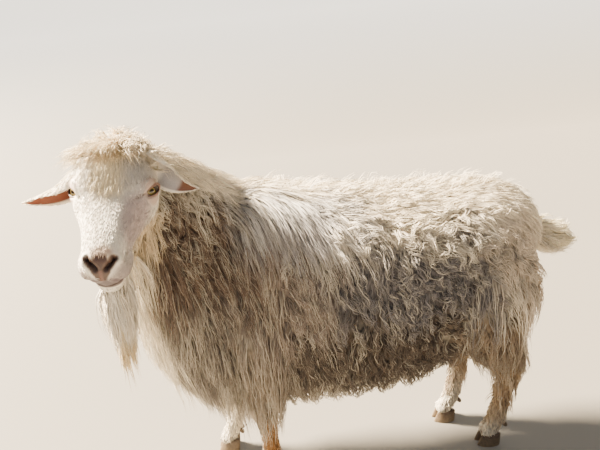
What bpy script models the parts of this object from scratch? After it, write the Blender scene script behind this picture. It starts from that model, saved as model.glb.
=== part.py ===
"""A standing, life-size goat with a long, moulting winter coat, as a still museum model.

The goat's head points to -X and is turned to its left, towards -Y. +Z is up, and the floor is z = 0.
Every length is in metres. Points are first placed in a design frame, whose origin is on the floor
between the four feet, and the last step moves the whole goat so that the middle of its box is at x = y = 0.
"""

import math

import bmesh
import bpy
import numpy as np
from mathutils import Matrix
from mathutils.bvhtree import BVHTree

# Gap kept between neighbouring solids
GAP = 0.0004

# How much of the coat's full depth the smooth core of each part fills; locks and clumps make the rest
COAT_SHARE = 0.45
SEED = 16

# Head: where its own frame starts, just above the poll, and how it is turned
HEAD_ORIGIN = np.array([-0.424, -0.2526, 0.9386])
HEAD_SCALE = 1.05
FACE_TILT = math.radians(52.0)
HEAD_ROLL = math.radians(7.0)
HEAD_YAW = math.radians(4.0)
EYE_RADIUS = 0.0148
EYE_ALONG, EYE_DEEP, EYE_OUT = 0.082, -0.030, 0.0525
# Half sizes of the opening between the lids: along it, across it and inwards
LID_GAP = (0.0145, 0.0080, 0.0130)
# Ears: the root in the head's frame, and their cup
EAR_ROOT = (0.034, -0.036, 0.056)
EAR_HALF_WIDTH = 0.030
EAR_WALL = 0.0044
# For each ear, how far the tip is out, ahead and down, and the ways its hollow faces at the root and the tip.
# The left one is turned over, so its back shows.
EAR_HANG = {
    "left": ((0.076, 0.012, 0.030), (0.0, -0.20, -1.0), (0.0, -1.0, -0.25)),
    "right": ((0.096, 0.036, 0.036), (0.0, -0.80, -0.60), (0.0, -0.80, -0.60)),
}

# Rows of (x, y, z, half width, rise, drop): the middle of each section and how far the skin is from it
TORSO = (
    (-0.385, -0.030, 0.545, 0.030, 0.040, 0.045),
    (-0.365, -0.025, 0.550, 0.075, 0.085, 0.090),
    (-0.320, -0.012, 0.565, 0.115, 0.130, 0.140),
    (-0.260, 0.000, 0.575, 0.132, 0.180, 0.175),
    (-0.190, 0.000, 0.575, 0.142, 0.193, 0.190),
    (-0.100, 0.000, 0.570, 0.152, 0.180, 0.192),
    (0.000, 0.000, 0.565, 0.162, 0.171, 0.190),
    (0.100, 0.000, 0.562, 0.168, 0.166, 0.184),
    (0.200, 0.000, 0.570, 0.164, 0.155, 0.172),
    (0.290, 0.000, 0.580, 0.150, 0.142, 0.155),
    (0.360, 0.000, 0.583, 0.136, 0.128, 0.142),
    (0.406, 0.000, 0.576, 0.112, 0.106, 0.130),
    (0.434, 0.000, 0.568, 0.078, 0.074, 0.096),
    (0.447, 0.000, 0.562, 0.034, 0.034, 0.044),
)
# How deep the coat is on each of those rows: at the side, on the back and under the belly
TORSO_COAT = (
    (0.020, 0.030, 0.090),
    (0.030, 0.040, 0.120),
    (0.045, 0.050, 0.170),
    (0.050, 0.055, 0.215),
    (0.046, 0.050, 0.235),
    (0.040, 0.044, 0.235),
    (0.038, 0.038, 0.225),
    (0.038, 0.035, 0.205),
    (0.036, 0.030, 0.180),
    (0.034, 0.028, 0.140),
    (0.030, 0.028, 0.060),
    (0.028, 0.028, 0.035),
    (0.024, 0.024, 0.028),
    (0.020, 0.020, 0.022),
)

# The neck runs from the head back to the shoulders
NECK = (
    (-0.424, -0.222, 0.868, 0.045, 0.045, 0.055),
    (-0.420, -0.205, 0.852, 0.056, 0.060, 0.066),
    (-0.405, -0.160, 0.812, 0.064, 0.072, 0.080),
    (-0.372, -0.098, 0.752, 0.074, 0.092, 0.100),
    (-0.325, -0.042, 0.685, 0.090, 0.120, 0.125),
    (-0.265, -0.010, 0.630, 0.100, 0.135, 0.140),
    (-0.220, 0.000, 0.605, 0.080, 0.110, 0.110),
)
# The mane that hangs from the throat and the chest
BIB = (
    (-0.424, -0.225, 0.770, 0.040, 0.030, 0.035),
    (-0.426, -0.190, 0.680, 0.050, 0.050, 0.040),
    (-0.418, -0.146, 0.566, 0.066, 0.072, 0.040),
    (-0.398, -0.100, 0.448, 0.078, 0.078, 0.040),
    (-0.366, -0.056, 0.352, 0.064, 0.052, 0.034),
    (-0.342, -0.030, 0.290, 0.036, 0.026, 0.020),
)
BIB_COAT = (
    (0.008, 0.014, 0.012),
    (0.020, 0.028, 0.022),
    (0.028, 0.042, 0.026),
    (0.034, 0.050, 0.030),
    (0.040, 0.055, 0.034),
    (0.034, 0.040, 0.028),
)
BEARD = (
    (-0.443, -0.338, 0.772, 0.012, 0.040, 0.016),
    (-0.446, -0.344, 0.728, 0.018, 0.044, 0.020),
    (-0.449, -0.350, 0.676, 0.016, 0.034, 0.016),
    (-0.452, -0.354, 0.628, 0.007, 0.012, 0.007),
)
BEARD_COAT = (
    (0.012, 0.012, 0.010),
    (0.018, 0.020, 0.014),
    (0.018, 0.018, 0.014),
    (0.008, 0.008, 0.006),
)
NECK_COAT = (
    (0.008, 0.010, 0.010),
    (0.024, 0.040, 0.040),
    (0.040, 0.060, 0.075),
    (0.046, 0.068, 0.105),
    (0.050, 0.064, 0.125),
    (0.050, 0.050, 0.125),
    (0.040, 0.030, 0.100),
)

# Rows of (along the face from behind the poll, top, bottom, half width) in the head's own frame
SKULL = (
    (-0.016, -0.048, -0.078, 0.018),
    (-0.006, -0.030, -0.092, 0.036),
    (0.012, -0.006, -0.104, 0.054),
    (0.035, 0.008, -0.110, 0.0630),
    (0.062, 0.012, -0.108, 0.0665),
    (0.090, 0.004, -0.098, 0.0650),
    (0.118, -0.004, -0.086, 0.0560),
    (0.148, -0.007, -0.076, 0.0435),
    (0.178, -0.008, -0.069, 0.0365),
    (0.202, -0.009, -0.064, 0.0325),
    (0.220, -0.014, -0.060, 0.0300),
    (0.232, -0.024, -0.054, 0.0230),
    (0.238, -0.034, -0.047, 0.0110),
)
JAW = (
    (0.012, -0.085, -0.112, 0.022),
    (0.028, -0.070, -0.124, 0.040),
    (0.055, -0.066, -0.128, 0.0490),
    (0.090, -0.062, -0.120, 0.0470),
    (0.125, -0.058, -0.108, 0.0380),
    (0.160, -0.054, -0.097, 0.0300),
    (0.190, -0.052, -0.095, 0.0255),
    (0.210, -0.052, -0.096, 0.0235),
    (0.225, -0.056, -0.092, 0.0180),
    (0.231, -0.064, -0.078, 0.0080),
)

# Rows of (x, y, z, half width, towards the tail, towards the head), from the body down to the coronet
LEGS = {
    "foreleg_left": (
        (-0.232, -0.100, 0.560, 0.030, 0.050, 0.050),
        (-0.230, -0.112, 0.500, 0.044, 0.070, 0.072),
        (-0.227, -0.116, 0.430, 0.042, 0.055, 0.056),
        (-0.231, -0.110, 0.360, 0.032, 0.036, 0.038),
        (-0.241, -0.102, 0.290, 0.0265, 0.027, 0.029),
        (-0.247, -0.098, 0.252, 0.0285, 0.026, 0.031),
        (-0.247, -0.096, 0.222, 0.0265, 0.025, 0.027),
        (-0.246, -0.092, 0.185, 0.0195, 0.021, 0.019),
        (-0.247, -0.088, 0.130, 0.0180, 0.020, 0.0175),
        (-0.249, -0.085, 0.092, 0.0225, 0.025, 0.021),
        (-0.254, -0.083, 0.070, 0.0225, 0.024, 0.021),
        (-0.263, -0.081, 0.052, 0.0210, 0.021, 0.019),
        (-0.270, -0.080, 0.036, 0.0240, 0.026, 0.024),
        (-0.272, -0.080, 0.026, 0.0180, 0.020, 0.018),
    ),
    "foreleg_right": (
        (-0.232, 0.100, 0.560, 0.030, 0.050, 0.050),
        (-0.236, 0.112, 0.500, 0.044, 0.070, 0.072),
        (-0.244, 0.116, 0.430, 0.042, 0.055, 0.056),
        (-0.266, 0.108, 0.360, 0.032, 0.036, 0.038),
        (-0.300, 0.095, 0.292, 0.0265, 0.027, 0.029),
        (-0.318, 0.089, 0.255, 0.0285, 0.026, 0.031),
        (-0.328, 0.085, 0.224, 0.0265, 0.025, 0.027),
        (-0.336, 0.080, 0.186, 0.0195, 0.021, 0.019),
        (-0.346, 0.074, 0.132, 0.0180, 0.020, 0.0175),
        (-0.353, 0.070, 0.092, 0.0225, 0.025, 0.021),
        (-0.359, 0.068, 0.070, 0.0225, 0.024, 0.021),
        (-0.369, 0.066, 0.052, 0.0210, 0.021, 0.019),
        (-0.377, 0.065, 0.036, 0.0240, 0.026, 0.024),
        (-0.379, 0.065, 0.026, 0.0180, 0.020, 0.018),
    ),
    "hindleg_left": (
        (0.330, -0.085, 0.600, 0.040, 0.070, 0.070),
        (0.318, -0.110, 0.530, 0.055, 0.105, 0.105),
        (0.310, -0.118, 0.450, 0.052, 0.090, 0.085),
        (0.330, -0.106, 0.380, 0.040, 0.060, 0.060),
        (0.360, -0.092, 0.325, 0.0300, 0.038, 0.038),
        (0.384, -0.082, 0.285, 0.0270, 0.034, 0.030),
        (0.394, -0.077, 0.255, 0.0270, 0.036, 0.030),
        (0.390, -0.073, 0.215, 0.0230, 0.026, 0.024),
        (0.382, -0.068, 0.150, 0.0190, 0.021, 0.020),
        (0.372, -0.063, 0.098, 0.0225, 0.025, 0.022),
        (0.366, -0.061, 0.074, 0.0225, 0.024, 0.021),
        (0.355, -0.059, 0.054, 0.0210, 0.021, 0.019),
        (0.346, -0.058, 0.036, 0.0235, 0.026, 0.024),
        (0.344, -0.058, 0.026, 0.0180, 0.020, 0.018),
    ),
    "hindleg_right": (
        (0.320, 0.085, 0.600, 0.040, 0.070, 0.070),
        (0.300, 0.110, 0.530, 0.055, 0.105, 0.105),
        (0.270, 0.118, 0.450, 0.052, 0.090, 0.085),
        (0.275, 0.106, 0.380, 0.040, 0.060, 0.060),
        (0.300, 0.092, 0.325, 0.0300, 0.038, 0.038),
        (0.322, 0.084, 0.285, 0.0270, 0.034, 0.030),
        (0.331, 0.079, 0.255, 0.0270, 0.036, 0.030),
        (0.326, 0.075, 0.215, 0.0230, 0.026, 0.024),
        (0.312, 0.068, 0.150, 0.0190, 0.021, 0.020),
        (0.296, 0.062, 0.098, 0.0225, 0.025, 0.022),
        (0.288, 0.060, 0.074, 0.0225, 0.024, 0.021),
        (0.275, 0.058, 0.054, 0.0210, 0.021, 0.019),
        (0.265, 0.057, 0.036, 0.0235, 0.026, 0.024),
        (0.263, 0.057, 0.026, 0.0180, 0.020, 0.018),
    ),
}
LEG_COAT = {
    "foreleg_left": (0.02, 0.035, 0.040, 0.042, 0.036, 0.026, 0.012, 0.004, 0.002, 0.002, 0.002, 0.0, 0.0, 0.0),
    "foreleg_right": (0.02, 0.035, 0.040, 0.042, 0.036, 0.026, 0.012, 0.004, 0.002, 0.002, 0.002, 0.0, 0.0, 0.0),
    "hindleg_left": (0.02, 0.034, 0.042, 0.046, 0.040, 0.022, 0.008, 0.004, 0.002, 0.002, 0.002, 0.0, 0.0, 0.0),
    "hindleg_right": (0.02, 0.030, 0.036, 0.038, 0.034, 0.022, 0.012, 0.004, 0.002, 0.002, 0.002, 0.0, 0.0, 0.0),
}
TAIL = (
    (0.430, 0.000, 0.590, 0.020, 0.020, 0.024),
    (0.460, 0.000, 0.588, 0.024, 0.022, 0.026),
    (0.500, 0.000, 0.578, 0.022, 0.018, 0.026),
    (0.545, 0.000, 0.568, 0.016, 0.014, 0.020),
    (0.575, 0.000, 0.562, 0.006, 0.005, 0.006),
)
TAIL_COAT = (
    (0.010, 0.008, 0.010),
    (0.016, 0.014, 0.020),
    (0.024, 0.022, 0.026),
    (0.024, 0.020, 0.024),
    (0.014, 0.012, 0.014),
)

# Hooves
HOOF_HIGH = 0.036
CLAW_LONG, CLAW_WIDE, CLEFT = 0.060, 0.0225, 0.0040
CLAW_SPLAY = math.radians(5.0)
DEWCLAW_RADII = (0.0095, 0.0060, 0.0055)

LEFT = np.array([0.0, -1.0, 0.0])
UP = np.array([0.0, 0.0, 1.0])
DOWN = -UP
BACK = np.array([1.0, 0.0, 0.0])


def unit(v):
    """The vector, or each row of vectors, at length one."""
    v = np.asarray(v, float)
    return v / np.maximum(np.linalg.norm(v, axis=-1, keepdims=True), 1e-12)


def head_axes():
    """The face's way, its dorsal normal and the goat's left side, with the head rolled and turned."""
    along = np.array([0.0, -math.sin(FACE_TILT), -math.cos(FACE_TILT)])
    dorsal = np.array([0.0, -math.cos(FACE_TILT), math.sin(FACE_TILT)])
    c, s = math.cos(HEAD_ROLL), math.sin(HEAD_ROLL)
    roll = np.array([[c, 0.0, s], [0.0, 1.0, 0.0], [-s, 0.0, c]])
    c, s = math.cos(HEAD_YAW), math.sin(HEAD_YAW)
    turn = np.array([[c, -s, 0.0], [s, c, 0.0], [0.0, 0.0, 1.0]]) @ roll
    return turn @ along, turn @ dorsal, turn @ np.array([1.0, 0.0, 0.0])


ALONG, DORSAL, HEAD_LEFT = head_axes()


def on_head(along, dorsal, left):
    """A point of the head's own frame, in the design frame."""
    return HEAD_ORIGIN + HEAD_SCALE * (ALONG * along + DORSAL * dorsal + HEAD_LEFT * left)


def smooth_rows(rows, steps):
    """The rows with steps - 1 more between each two, on a Catmull-Rom curve through them."""
    rows = np.asarray(rows, float)
    ends = np.vstack([2 * rows[0] - rows[1], rows, 2 * rows[-1] - rows[-2]])
    out = []
    for i in range(len(rows) - 1):
        a, b, c, d = ends[i : i + 4]
        for t in np.arange(steps) / steps:
            linear = (c - a) * t
            square = (2 * a - 5 * b + 4 * c - d) * t**2
            cubic = (3 * b - a - 3 * c + d) * t**3
            out.append(b + (linear + square + cubic) / 2)
    out.append(rows[-1])
    return np.array(out)


class Loft:
    """A body of rounded sections along a smooth path. Angle 0 is its left side and 90 degrees its top."""

    def __init__(self, rows, side=LEFT, up=None, around=20, steps=2, square=2.2, egg=0.0):
        rows = smooth_rows(rows, steps)
        centres = rows[:, :3]
        along = unit(np.gradient(centres, axis=0))
        if up is None:
            sides = unit(side - along * (along @ side)[:, None])
            ups = unit(np.cross(sides, along))
        else:
            sides = np.repeat(np.array([side], float), len(rows), axis=0)
            ups = np.repeat(np.array([up], float), len(rows), axis=0)
        angles = 2 * math.pi * np.arange(around) / around
        c, s = np.cos(angles), np.sin(angles)
        wide = np.sign(c) * np.abs(c) ** (2 / square) * (1 - egg * s)
        high = np.sign(s) * np.abs(s) ** (2 / square)
        tall = np.where(high[None, :] > 0, rows[:, 4:5], rows[:, 5:6])
        self.centres = centres
        self.rings = (
            centres[:, None, :]
            + sides[:, None, :] * (rows[:, 3:4] * wide)[:, :, None]
            + ups[:, None, :] * (tall * high)[:, :, None]
        )
        self.tips = (
            centres[0] - along[0] * rows[0, 3] * 0.35,
            centres[-1] + along[-1] * rows[-1, 3] * 0.35,
        )

    def spot(self, share, angle):
        """The point and the outward normal at a share of the way along and an angle round the loft."""
        count, around, _ = self.rings.shape

        def point(i, j):
            i = min(max(i, 0.0), count - 1.000001)
            j = j % around
            low_i, low_j = int(i), int(j)
            next_j = (low_j + 1) % around
            f, g = i - low_i, j - low_j
            near_row = self.rings[low_i, low_j] * (1 - g) + self.rings[low_i, next_j] * g
            far_row = self.rings[low_i + 1, low_j] * (1 - g) + self.rings[low_i + 1, next_j] * g
            return near_row * (1 - f) + far_row * f

        i, j = share * (count - 1), angle / 360 * around
        here = point(i, j)
        ahead = point(i + 0.5, j) - point(i - 0.5, j)
        round_it = point(i, j + 0.5) - point(i, j - 0.5)
        normal = unit(np.cross(ahead, round_it))
        middle = self.centres[min(int(round(i)), count - 1)]
        return here, normal if np.dot(normal, here - middle) > 0 else -normal

    def mesh(self, name):
        """A closed mesh object of the loft, with a low dome on each end."""
        count, around, _ = self.rings.shape
        points = [tuple(p) for p in self.rings.reshape(-1, 3)]
        first = len(points)
        points += [tuple(self.tips[0]), tuple(self.tips[1])]
        faces = []
        for i in range(count - 1):
            for j in range(around):
                k = (j + 1) % around
                a, b = i * around, (i + 1) * around
                faces.append((a + j, a + k, b + k, b + j))
        last = (count - 1) * around
        for j in range(around):
            k = (j + 1) % around
            faces.append((first, k, j))
            faces.append((first + 1, last + j, last + k))
        return mesh_object(name, points, faces)


def head_loft(rows, around=20, steps=2, square=2.3, egg=0.0):
    """A loft in the head's own frame, from rows of (along, top, bottom, half width)."""
    placed = []
    for along, top, bottom, half in rows:
        x, y, z = on_head(along, (top + bottom) / 2, 0.0)
        high = HEAD_SCALE * (top - bottom) / 2
        placed.append((x, y, z, HEAD_SCALE * half, high, high))
    return Loft(placed, HEAD_LEFT, DORSAL, around, steps, square, egg)


def coated(rows, coat, share=COAT_SHARE):
    """The rows of a loft with a share of the coat's depth (side, top and bottom of each row) put round them."""
    rows = np.array(rows, float)
    rows[:, 3:6] += share * np.array(coat, float).reshape(len(rows), -1)
    rows[0, :3] += unit(rows[0, :3] - rows[1, :3]) * coat[0][0] * share
    rows[-1, :3] += unit(rows[-1, :3] - rows[-2, :3]) * coat[-1][0] * share
    return rows


def mesh_object(name, points, faces):
    """A mesh object in the scene, with its faces turned outwards.

    Four-sided faces are split the same way in each, so a grown copy of a twisted shape always holds the shape.
    """
    mesh = bpy.data.meshes.new(name)
    mesh.from_pydata(points, [], faces)
    work = bmesh.new()
    work.from_mesh(mesh)
    bmesh.ops.recalc_face_normals(work, faces=work.faces)
    bmesh.ops.triangulate(work, faces=work.faces, quad_method="FIXED")
    work.to_mesh(mesh)
    work.free()
    obj = bpy.data.objects.new(name, mesh)
    bpy.context.scene.collection.objects.link(obj)
    return obj


def ball(name, centre, radii, axes=None, segments=14, rings=8):
    """An ellipsoid with its three radii along the given axes."""
    axes = np.eye(3) if axes is None else np.array(axes)
    mesh = bpy.data.meshes.new(name)
    work = bmesh.new()
    bmesh.ops.create_uvsphere(work, u_segments=segments, v_segments=rings, radius=1.0)
    for vert in work.verts:
        vert.co = centre + (np.array(vert.co) * np.array(radii)) @ axes
    bmesh.ops.recalc_face_normals(work, faces=work.faces)
    work.to_mesh(mesh)
    work.free()
    obj = bpy.data.objects.new(name, mesh)
    bpy.context.scene.collection.objects.link(obj)
    return obj


def block(name, centre, way, reach=1.0):
    """A large box whose face passes through the centre and which lies on the side that way points to."""
    way = unit(way)
    helper = BACK if abs(way[0]) < 0.8 else LEFT
    a = unit(np.cross(way, helper))
    b = np.cross(way, a)
    points = []
    for depth in (0.0, reach):
        for u, v in ((-1, -1), (1, -1), (1, 1), (-1, 1)):
            points.append(tuple(centre + way * depth + a * u * reach + b * v * reach))
    faces = [(0, 1, 2, 3), (4, 5, 6, 7), (0, 1, 5, 4), (1, 2, 6, 5), (2, 3, 7, 6), (3, 0, 4, 7)]
    return mesh_object(name, points, faces)


def copy_grown(obj, by=GAP):
    """A copy of the object with its faces moved outwards."""
    mesh = obj.data.copy()
    work = bmesh.new()
    work.from_mesh(mesh)
    work.normal_update()
    moves = [vert.normal * by * min(vert.calc_shell_factor(), 2.0) for vert in work.verts]
    for vert, move in zip(work.verts, moves):
        vert.co += move
    work.to_mesh(mesh)
    work.free()
    copy = bpy.data.objects.new(obj.name + "_grown", mesh)
    bpy.context.scene.collection.objects.link(copy)
    return copy


def remove(objects):
    """Takes the objects out of the file."""
    for obj in objects:
        bpy.data.objects.remove(obj)


def boolean(target, others, operation):
    """Joins the others to the target, or cuts them from it, and removes them. EXACT is slow on so many."""
    if not others:
        return target
    group = bpy.data.collections.new(target.name + "_pieces")
    bpy.context.scene.collection.children.link(group)
    for other in others:
        bpy.context.scene.collection.objects.unlink(other)
        group.objects.link(other)
    modifier = target.modifiers.new("join", "BOOLEAN")
    modifier.operation = operation
    modifier.operand_type = "COLLECTION"
    modifier.collection = group
    modifier.solver = "MANIFOLD"
    bpy.context.view_layer.update()
    graph = bpy.context.evaluated_depsgraph_get()
    mesh = bpy.data.meshes.new_from_object(target.evaluated_get(graph))
    target.modifiers.clear()
    target.data = mesh
    remove(list(group.objects))
    bpy.data.collections.remove(group)
    return target


def box_of(obj):
    """The lowest and the highest corner of the object."""
    points = np.array([vert.co for vert in obj.data.vertices])
    return points.min(axis=0), points.max(axis=0)


def near(one, other):
    """True where two boxes come within 2 mm of each other."""
    return bool(np.all(one[0] < other[1] + 0.002) and np.all(other[0] < one[1] + 0.002))


def largest_only(obj):
    """Keeps the closed surface that holds the most, which drops loose scraps and sealed hollows."""
    work = bmesh.new()
    work.from_mesh(obj.data)
    bmesh.ops.triangulate(work, faces=work.faces)
    left = set(work.faces)
    parts = []
    while left:
        seed = left.pop()
        part, edge = [seed], [seed]
        while edge:
            for link in edge.pop().edges:
                for face in link.link_faces:
                    if face in left:
                        left.remove(face)
                        part.append(face)
                        edge.append(face)
        holds = 0.0
        for face in part:
            a, b, c = (vert.co for vert in face.verts)
            holds += a.dot(b.cross(c))
        parts.append((holds, part))
    parts.sort(key=lambda found: found[0])
    for _, part in parts[:-1]:
        bmesh.ops.delete(work, geom=part, context="FACES")
    work.to_mesh(obj.data)
    work.free()
    return obj


class Lock:
    """A flat tapered lock of hair: a closed mesh along a path, with a pointed or blunt end.

    A lock that lies on its core has a flat underside and a ridge on top; one that hangs has four sides.
    """

    def __init__(self, path, normals, width, thick, blunt, lying):
        self.path = np.array(path)
        self.normals = unit(np.array(normals))
        self.width, self.thick, self.blunt, self.lying = width, thick, blunt, lying
        self.low = self.path.min(axis=0) - width
        self.high = self.path.max(axis=0) + width

    def mesh(self, more=0.0):
        """The lock's mesh object, grown on every side by more."""
        along = unit(np.gradient(self.path, axis=0))
        across = unit(np.cross(along, self.normals))
        ups = unit(np.cross(across, along))
        path = self.path.copy()
        path[-1] += along[-1] * more
        last = len(path) if self.blunt else len(path) - 1
        shares = (0.70, 1.0, 0.92, 0.42) if self.blunt else (0.75, 1.0, 0.62, 0.0)
        points = []
        for i in range(last):
            half = self.width / 2 * shares[i] + more
            high = self.thick / 2 * (0.6 + 0.4 * shares[i]) + more
            if self.lying:
                section = ((half + more, -high), (0.0, high + more), (-half - more, -high))
            else:
                section = ((half, 0.0), (0.0, high), (-half, 0.0), (0.0, -high))
            for u, v in section:
                points.append(tuple(path[i] + across[i] * u + ups[i] * v))
        sides = len(section)
        faces = [tuple(range(sides))]
        for i in range(0, sides * (last - 1), sides):
            for j in range(sides):
                k = (j + 1) % sides
                faces.append((i + j, i + k, i + sides + k, i + sides + j))
        end = sides * (last - 1)
        if self.blunt:
            faces.append(tuple(range(end, end + sides)))
        else:
            points.append(tuple(path[-1]))
            faces += [(end + j, end + (j + 1) % sides, end + sides) for j in range(sides)]
        return mesh_object("lock", points, faces)


class Skin:
    """The smooth cores of the whole goat, which the locks grow from and lie on."""

    def __init__(self, cores):
        self.trees = {}
        points, faces = [], []
        for name, obj in cores.items():
            own = [tuple(vert.co) for vert in obj.data.vertices]
            sides = [tuple(face.vertices) for face in obj.data.polygons]
            self.trees[name] = BVHTree.FromPolygons(own, sides)
            faces += [tuple(i + len(points) for i in side) for side in sides]
            points += own
        self.whole = BVHTree.FromPolygons(points, faces)

    def hidden(self, name, spot, depth=0.002):
        """True where the spot lies inside the core of another node."""
        for other, tree in self.trees.items():
            if other == name:
                continue
            place, normal, _, _ = tree.find_nearest(spot)
            if np.dot(spot - np.array(place), normal) < -depth:
                return True
        return False

    def lift(self, name, spot, height):
        """The point at that height over the nearest place of the node's own core, and the normal there."""
        place, normal, _, _ = self.trees[name].find_nearest(spot)
        normal = np.array(normal)
        return np.array(place) + normal * height, normal


class Coat:
    """Grows the locks of each node."""

    def __init__(self, skin):
        self.skin = skin
        self.rng = np.random.default_rng(SEED)
        self.locks = {}

    def vary(self, value, share=0.15):
        """The value, changed at random by up to that share of it."""
        return value * (1 + self.rng.uniform(-share, share))

    def lock(self, name, root, normal, trend, length, width, thick, depth, hang=0.0, blunt=False):
        """Adds one lock: it lies along the trend at a height over the core, or hangs, by the share given."""
        if self.skin.hidden(name, root):
            return
        length, width = self.vary(length), self.vary(width)
        way = unit(trend - normal * float(np.dot(trend, normal)))
        spot = root.copy()
        path = [root - normal * 0.012 - way * 0.004]
        normals = [normal]
        heights = (0.55, 0.75, 0.70) if blunt else (0.55, 0.80, 0.85)
        for i, rise in enumerate(heights):
            way = unit(way * (1 - hang) + DOWN * hang)
            step = way * length * (0.28, 0.40, 0.32)[i]
            spot = spot + step
            lifted, over = self.skin.lift(name, spot, depth * rise)
            if hang > 0:
                free = spot + normal * depth * rise
                lifted = free * hang + lifted * (1 - hang)
                over = unit(normal * hang + over * (1 - hang))
            path.append(lifted)
            normals.append(over)
        made = Lock(path, normals, width, self.vary(thick), blunt, hang == 0)
        self.locks.setdefault(name, []).append(made)

    def patch(self, name, loft, shares, angles, counts, trend, **sizes):
        """Locks in staggered rows over a part of a loft, on both sides of the goat when angles are given so."""
        rows, columns = counts
        trend = np.array(trend, float)
        for i in range(rows):
            share = shares[0] + (shares[1] - shares[0]) * (i + 0.5) / rows
            for j in range(columns):
                stagger = 0.5 if columns == 1 else 0.25 + 0.5 * (i % 2)
                angle = angles[0] + (angles[1] - angles[0]) * (j + stagger) / columns
                along = share + self.rng.uniform(-0.2, 0.2) * (shares[1] - shares[0]) / rows
                root, normal = loft.spot(along, angle)
                drift = np.array([self.rng.uniform(-0.15, 0.15), self.rng.uniform(-0.1, 0.1), 0.0])
                self.lock(name, root, normal, trend + drift, **sizes)

    def pair(self, name, loft, shares, angles, counts, trend, **sizes):
        """The same patch on the goat's left and right side."""
        self.patch(name, loft, shares, angles, counts, trend, **sizes)
        self.patch(name, loft, shares, (180 - angles[0], 180 - angles[1]), counts, trend, **sizes)


def material(name, colour, roughness):
    """A plain material of one colour."""
    made = bpy.data.materials.new(name)
    made.use_nodes = True
    shader = made.node_tree.nodes["Principled BSDF"]
    shader.inputs["Base Color"].default_value = (*colour, 1.0)
    shader.inputs["Roughness"].default_value = roughness
    shader.inputs["Metallic"].default_value = 0.0
    return made


def ear(name, side):
    """One ear: a leaf-shaped cup with a thin wall, held out sideways and drooping a little."""
    base = on_head(*EAR_ROOT[:2], side * EAR_ROOT[2])
    (out, ahead, down), root_way, tip_way = EAR_HANG["left" if side > 0 else "right"]
    tip = base + np.array([side * out, -ahead, -down])
    way = unit(tip - base)
    length = np.linalg.norm(tip - base)
    steps, around = 7, 5
    outer, inner = [], []
    for i in range(steps + 1):
        t = i / steps
        turned = min(max((t - 0.45) / 0.45, 0.0), 1.0)
        open_way = np.array(root_way) * (1 - turned) + np.array(tip_way) * turned
        open_way = unit(open_way - way * (way @ open_way))
        across = np.cross(way, open_way)
        half = EAR_HALF_WIDTH * math.sin(math.pi * (0.18 + 0.80 * t)) ** 0.72 + 0.0005
        spread = math.radians(128 - 88 * t**0.8)
        radius = half / max(math.sin(min(spread, math.pi / 2)), 0.35)
        centre = base + way * length * t + open_way * 0.012 * math.sin(math.pi * t * 0.9)
        wall = EAR_WALL / 2 * (1 - 0.45 * t)
        for ring, grow in ((outer, wall), (inner, -wall)):
            row = []
            for j in range(around + 1):
                a = spread * (2 * j / around - 1)
                r = radius + grow
                bend = -open_way * (r * math.cos(a) - radius) + across * r * math.sin(a)
                row.append(centre + bend)
            ring.append(row)
    points = [tuple(p) for ring in (outer, inner) for row in ring for p in row]
    wide = around + 1
    inside = (steps + 1) * wide
    faces = []
    for i in range(steps):
        for j in range(around):
            a = i * wide + j
            faces.append((a, a + 1, a + wide + 1, a + wide))
            faces.append((inside + a, inside + a + wide, inside + a + wide + 1, inside + a + 1))
        for j in (0, around):
            a = i * wide + j
            faces.append((a, a + wide, inside + a + wide, inside + a))
    for i in (0, steps):
        for j in range(around):
            a = i * wide + j
            faces.append((a, inside + a, inside + a + 1, a + 1))
    return mesh_object(name, points, faces)


def claw(name, toe, side):
    """One claw of a hoof: a flat sole, a sloping front wall and a round heel."""
    turn = side * CLAW_SPLAY
    ahead = np.array([-math.cos(turn), -math.sin(turn), 0.0])
    out = np.array([0.0, side, 0.0])
    levels = ((0.0, 1.0, 0.0), (0.012, 0.97, 0.30), (HOOF_HIGH, 0.80, 1.0))
    sides = 12
    points = []
    for height, size, back in levels:
        for j in range(sides):
            a = 2 * math.pi * j / sides
            long = CLAW_LONG / 2 * size * math.cos(a)
            narrow = 1.0 - 0.45 * max(0.0, math.cos(a)) ** 2
            wide = CLAW_WIDE / 2 * size**0.5 * math.sin(a) * narrow
            mid = toe + out * (CLEFT + CLAW_WIDE) / 2
            spot = mid + ahead * (long - back * 0.010) + out * (wide - 0.002 * back)
            points.append((spot[0], spot[1], height))
    faces = [tuple(range(sides)), tuple(range(2 * sides, 3 * sides))]
    for i in range(2):
        for j in range(sides):
            k = (j + 1) % sides
            faces.append((i * sides + j, i * sides + k, (i + 1) * sides + k, (i + 1) * sides + j))
    return mesh_object(name, points, faces)


def dewclaw(name, fetlock, side):
    """One of the two small horny claws behind the fetlock."""
    spot = fetlock + np.array([0.023, side * 0.0105, -0.012])
    way = unit([0.55, side * 0.10, -0.83])
    across = unit(np.cross(way, [0.0, side, 0.2]))
    axes = (way, across, np.cross(way, across))
    return ball(name, spot, DEWCLAW_RADII, axes, 6, 4)


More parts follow.
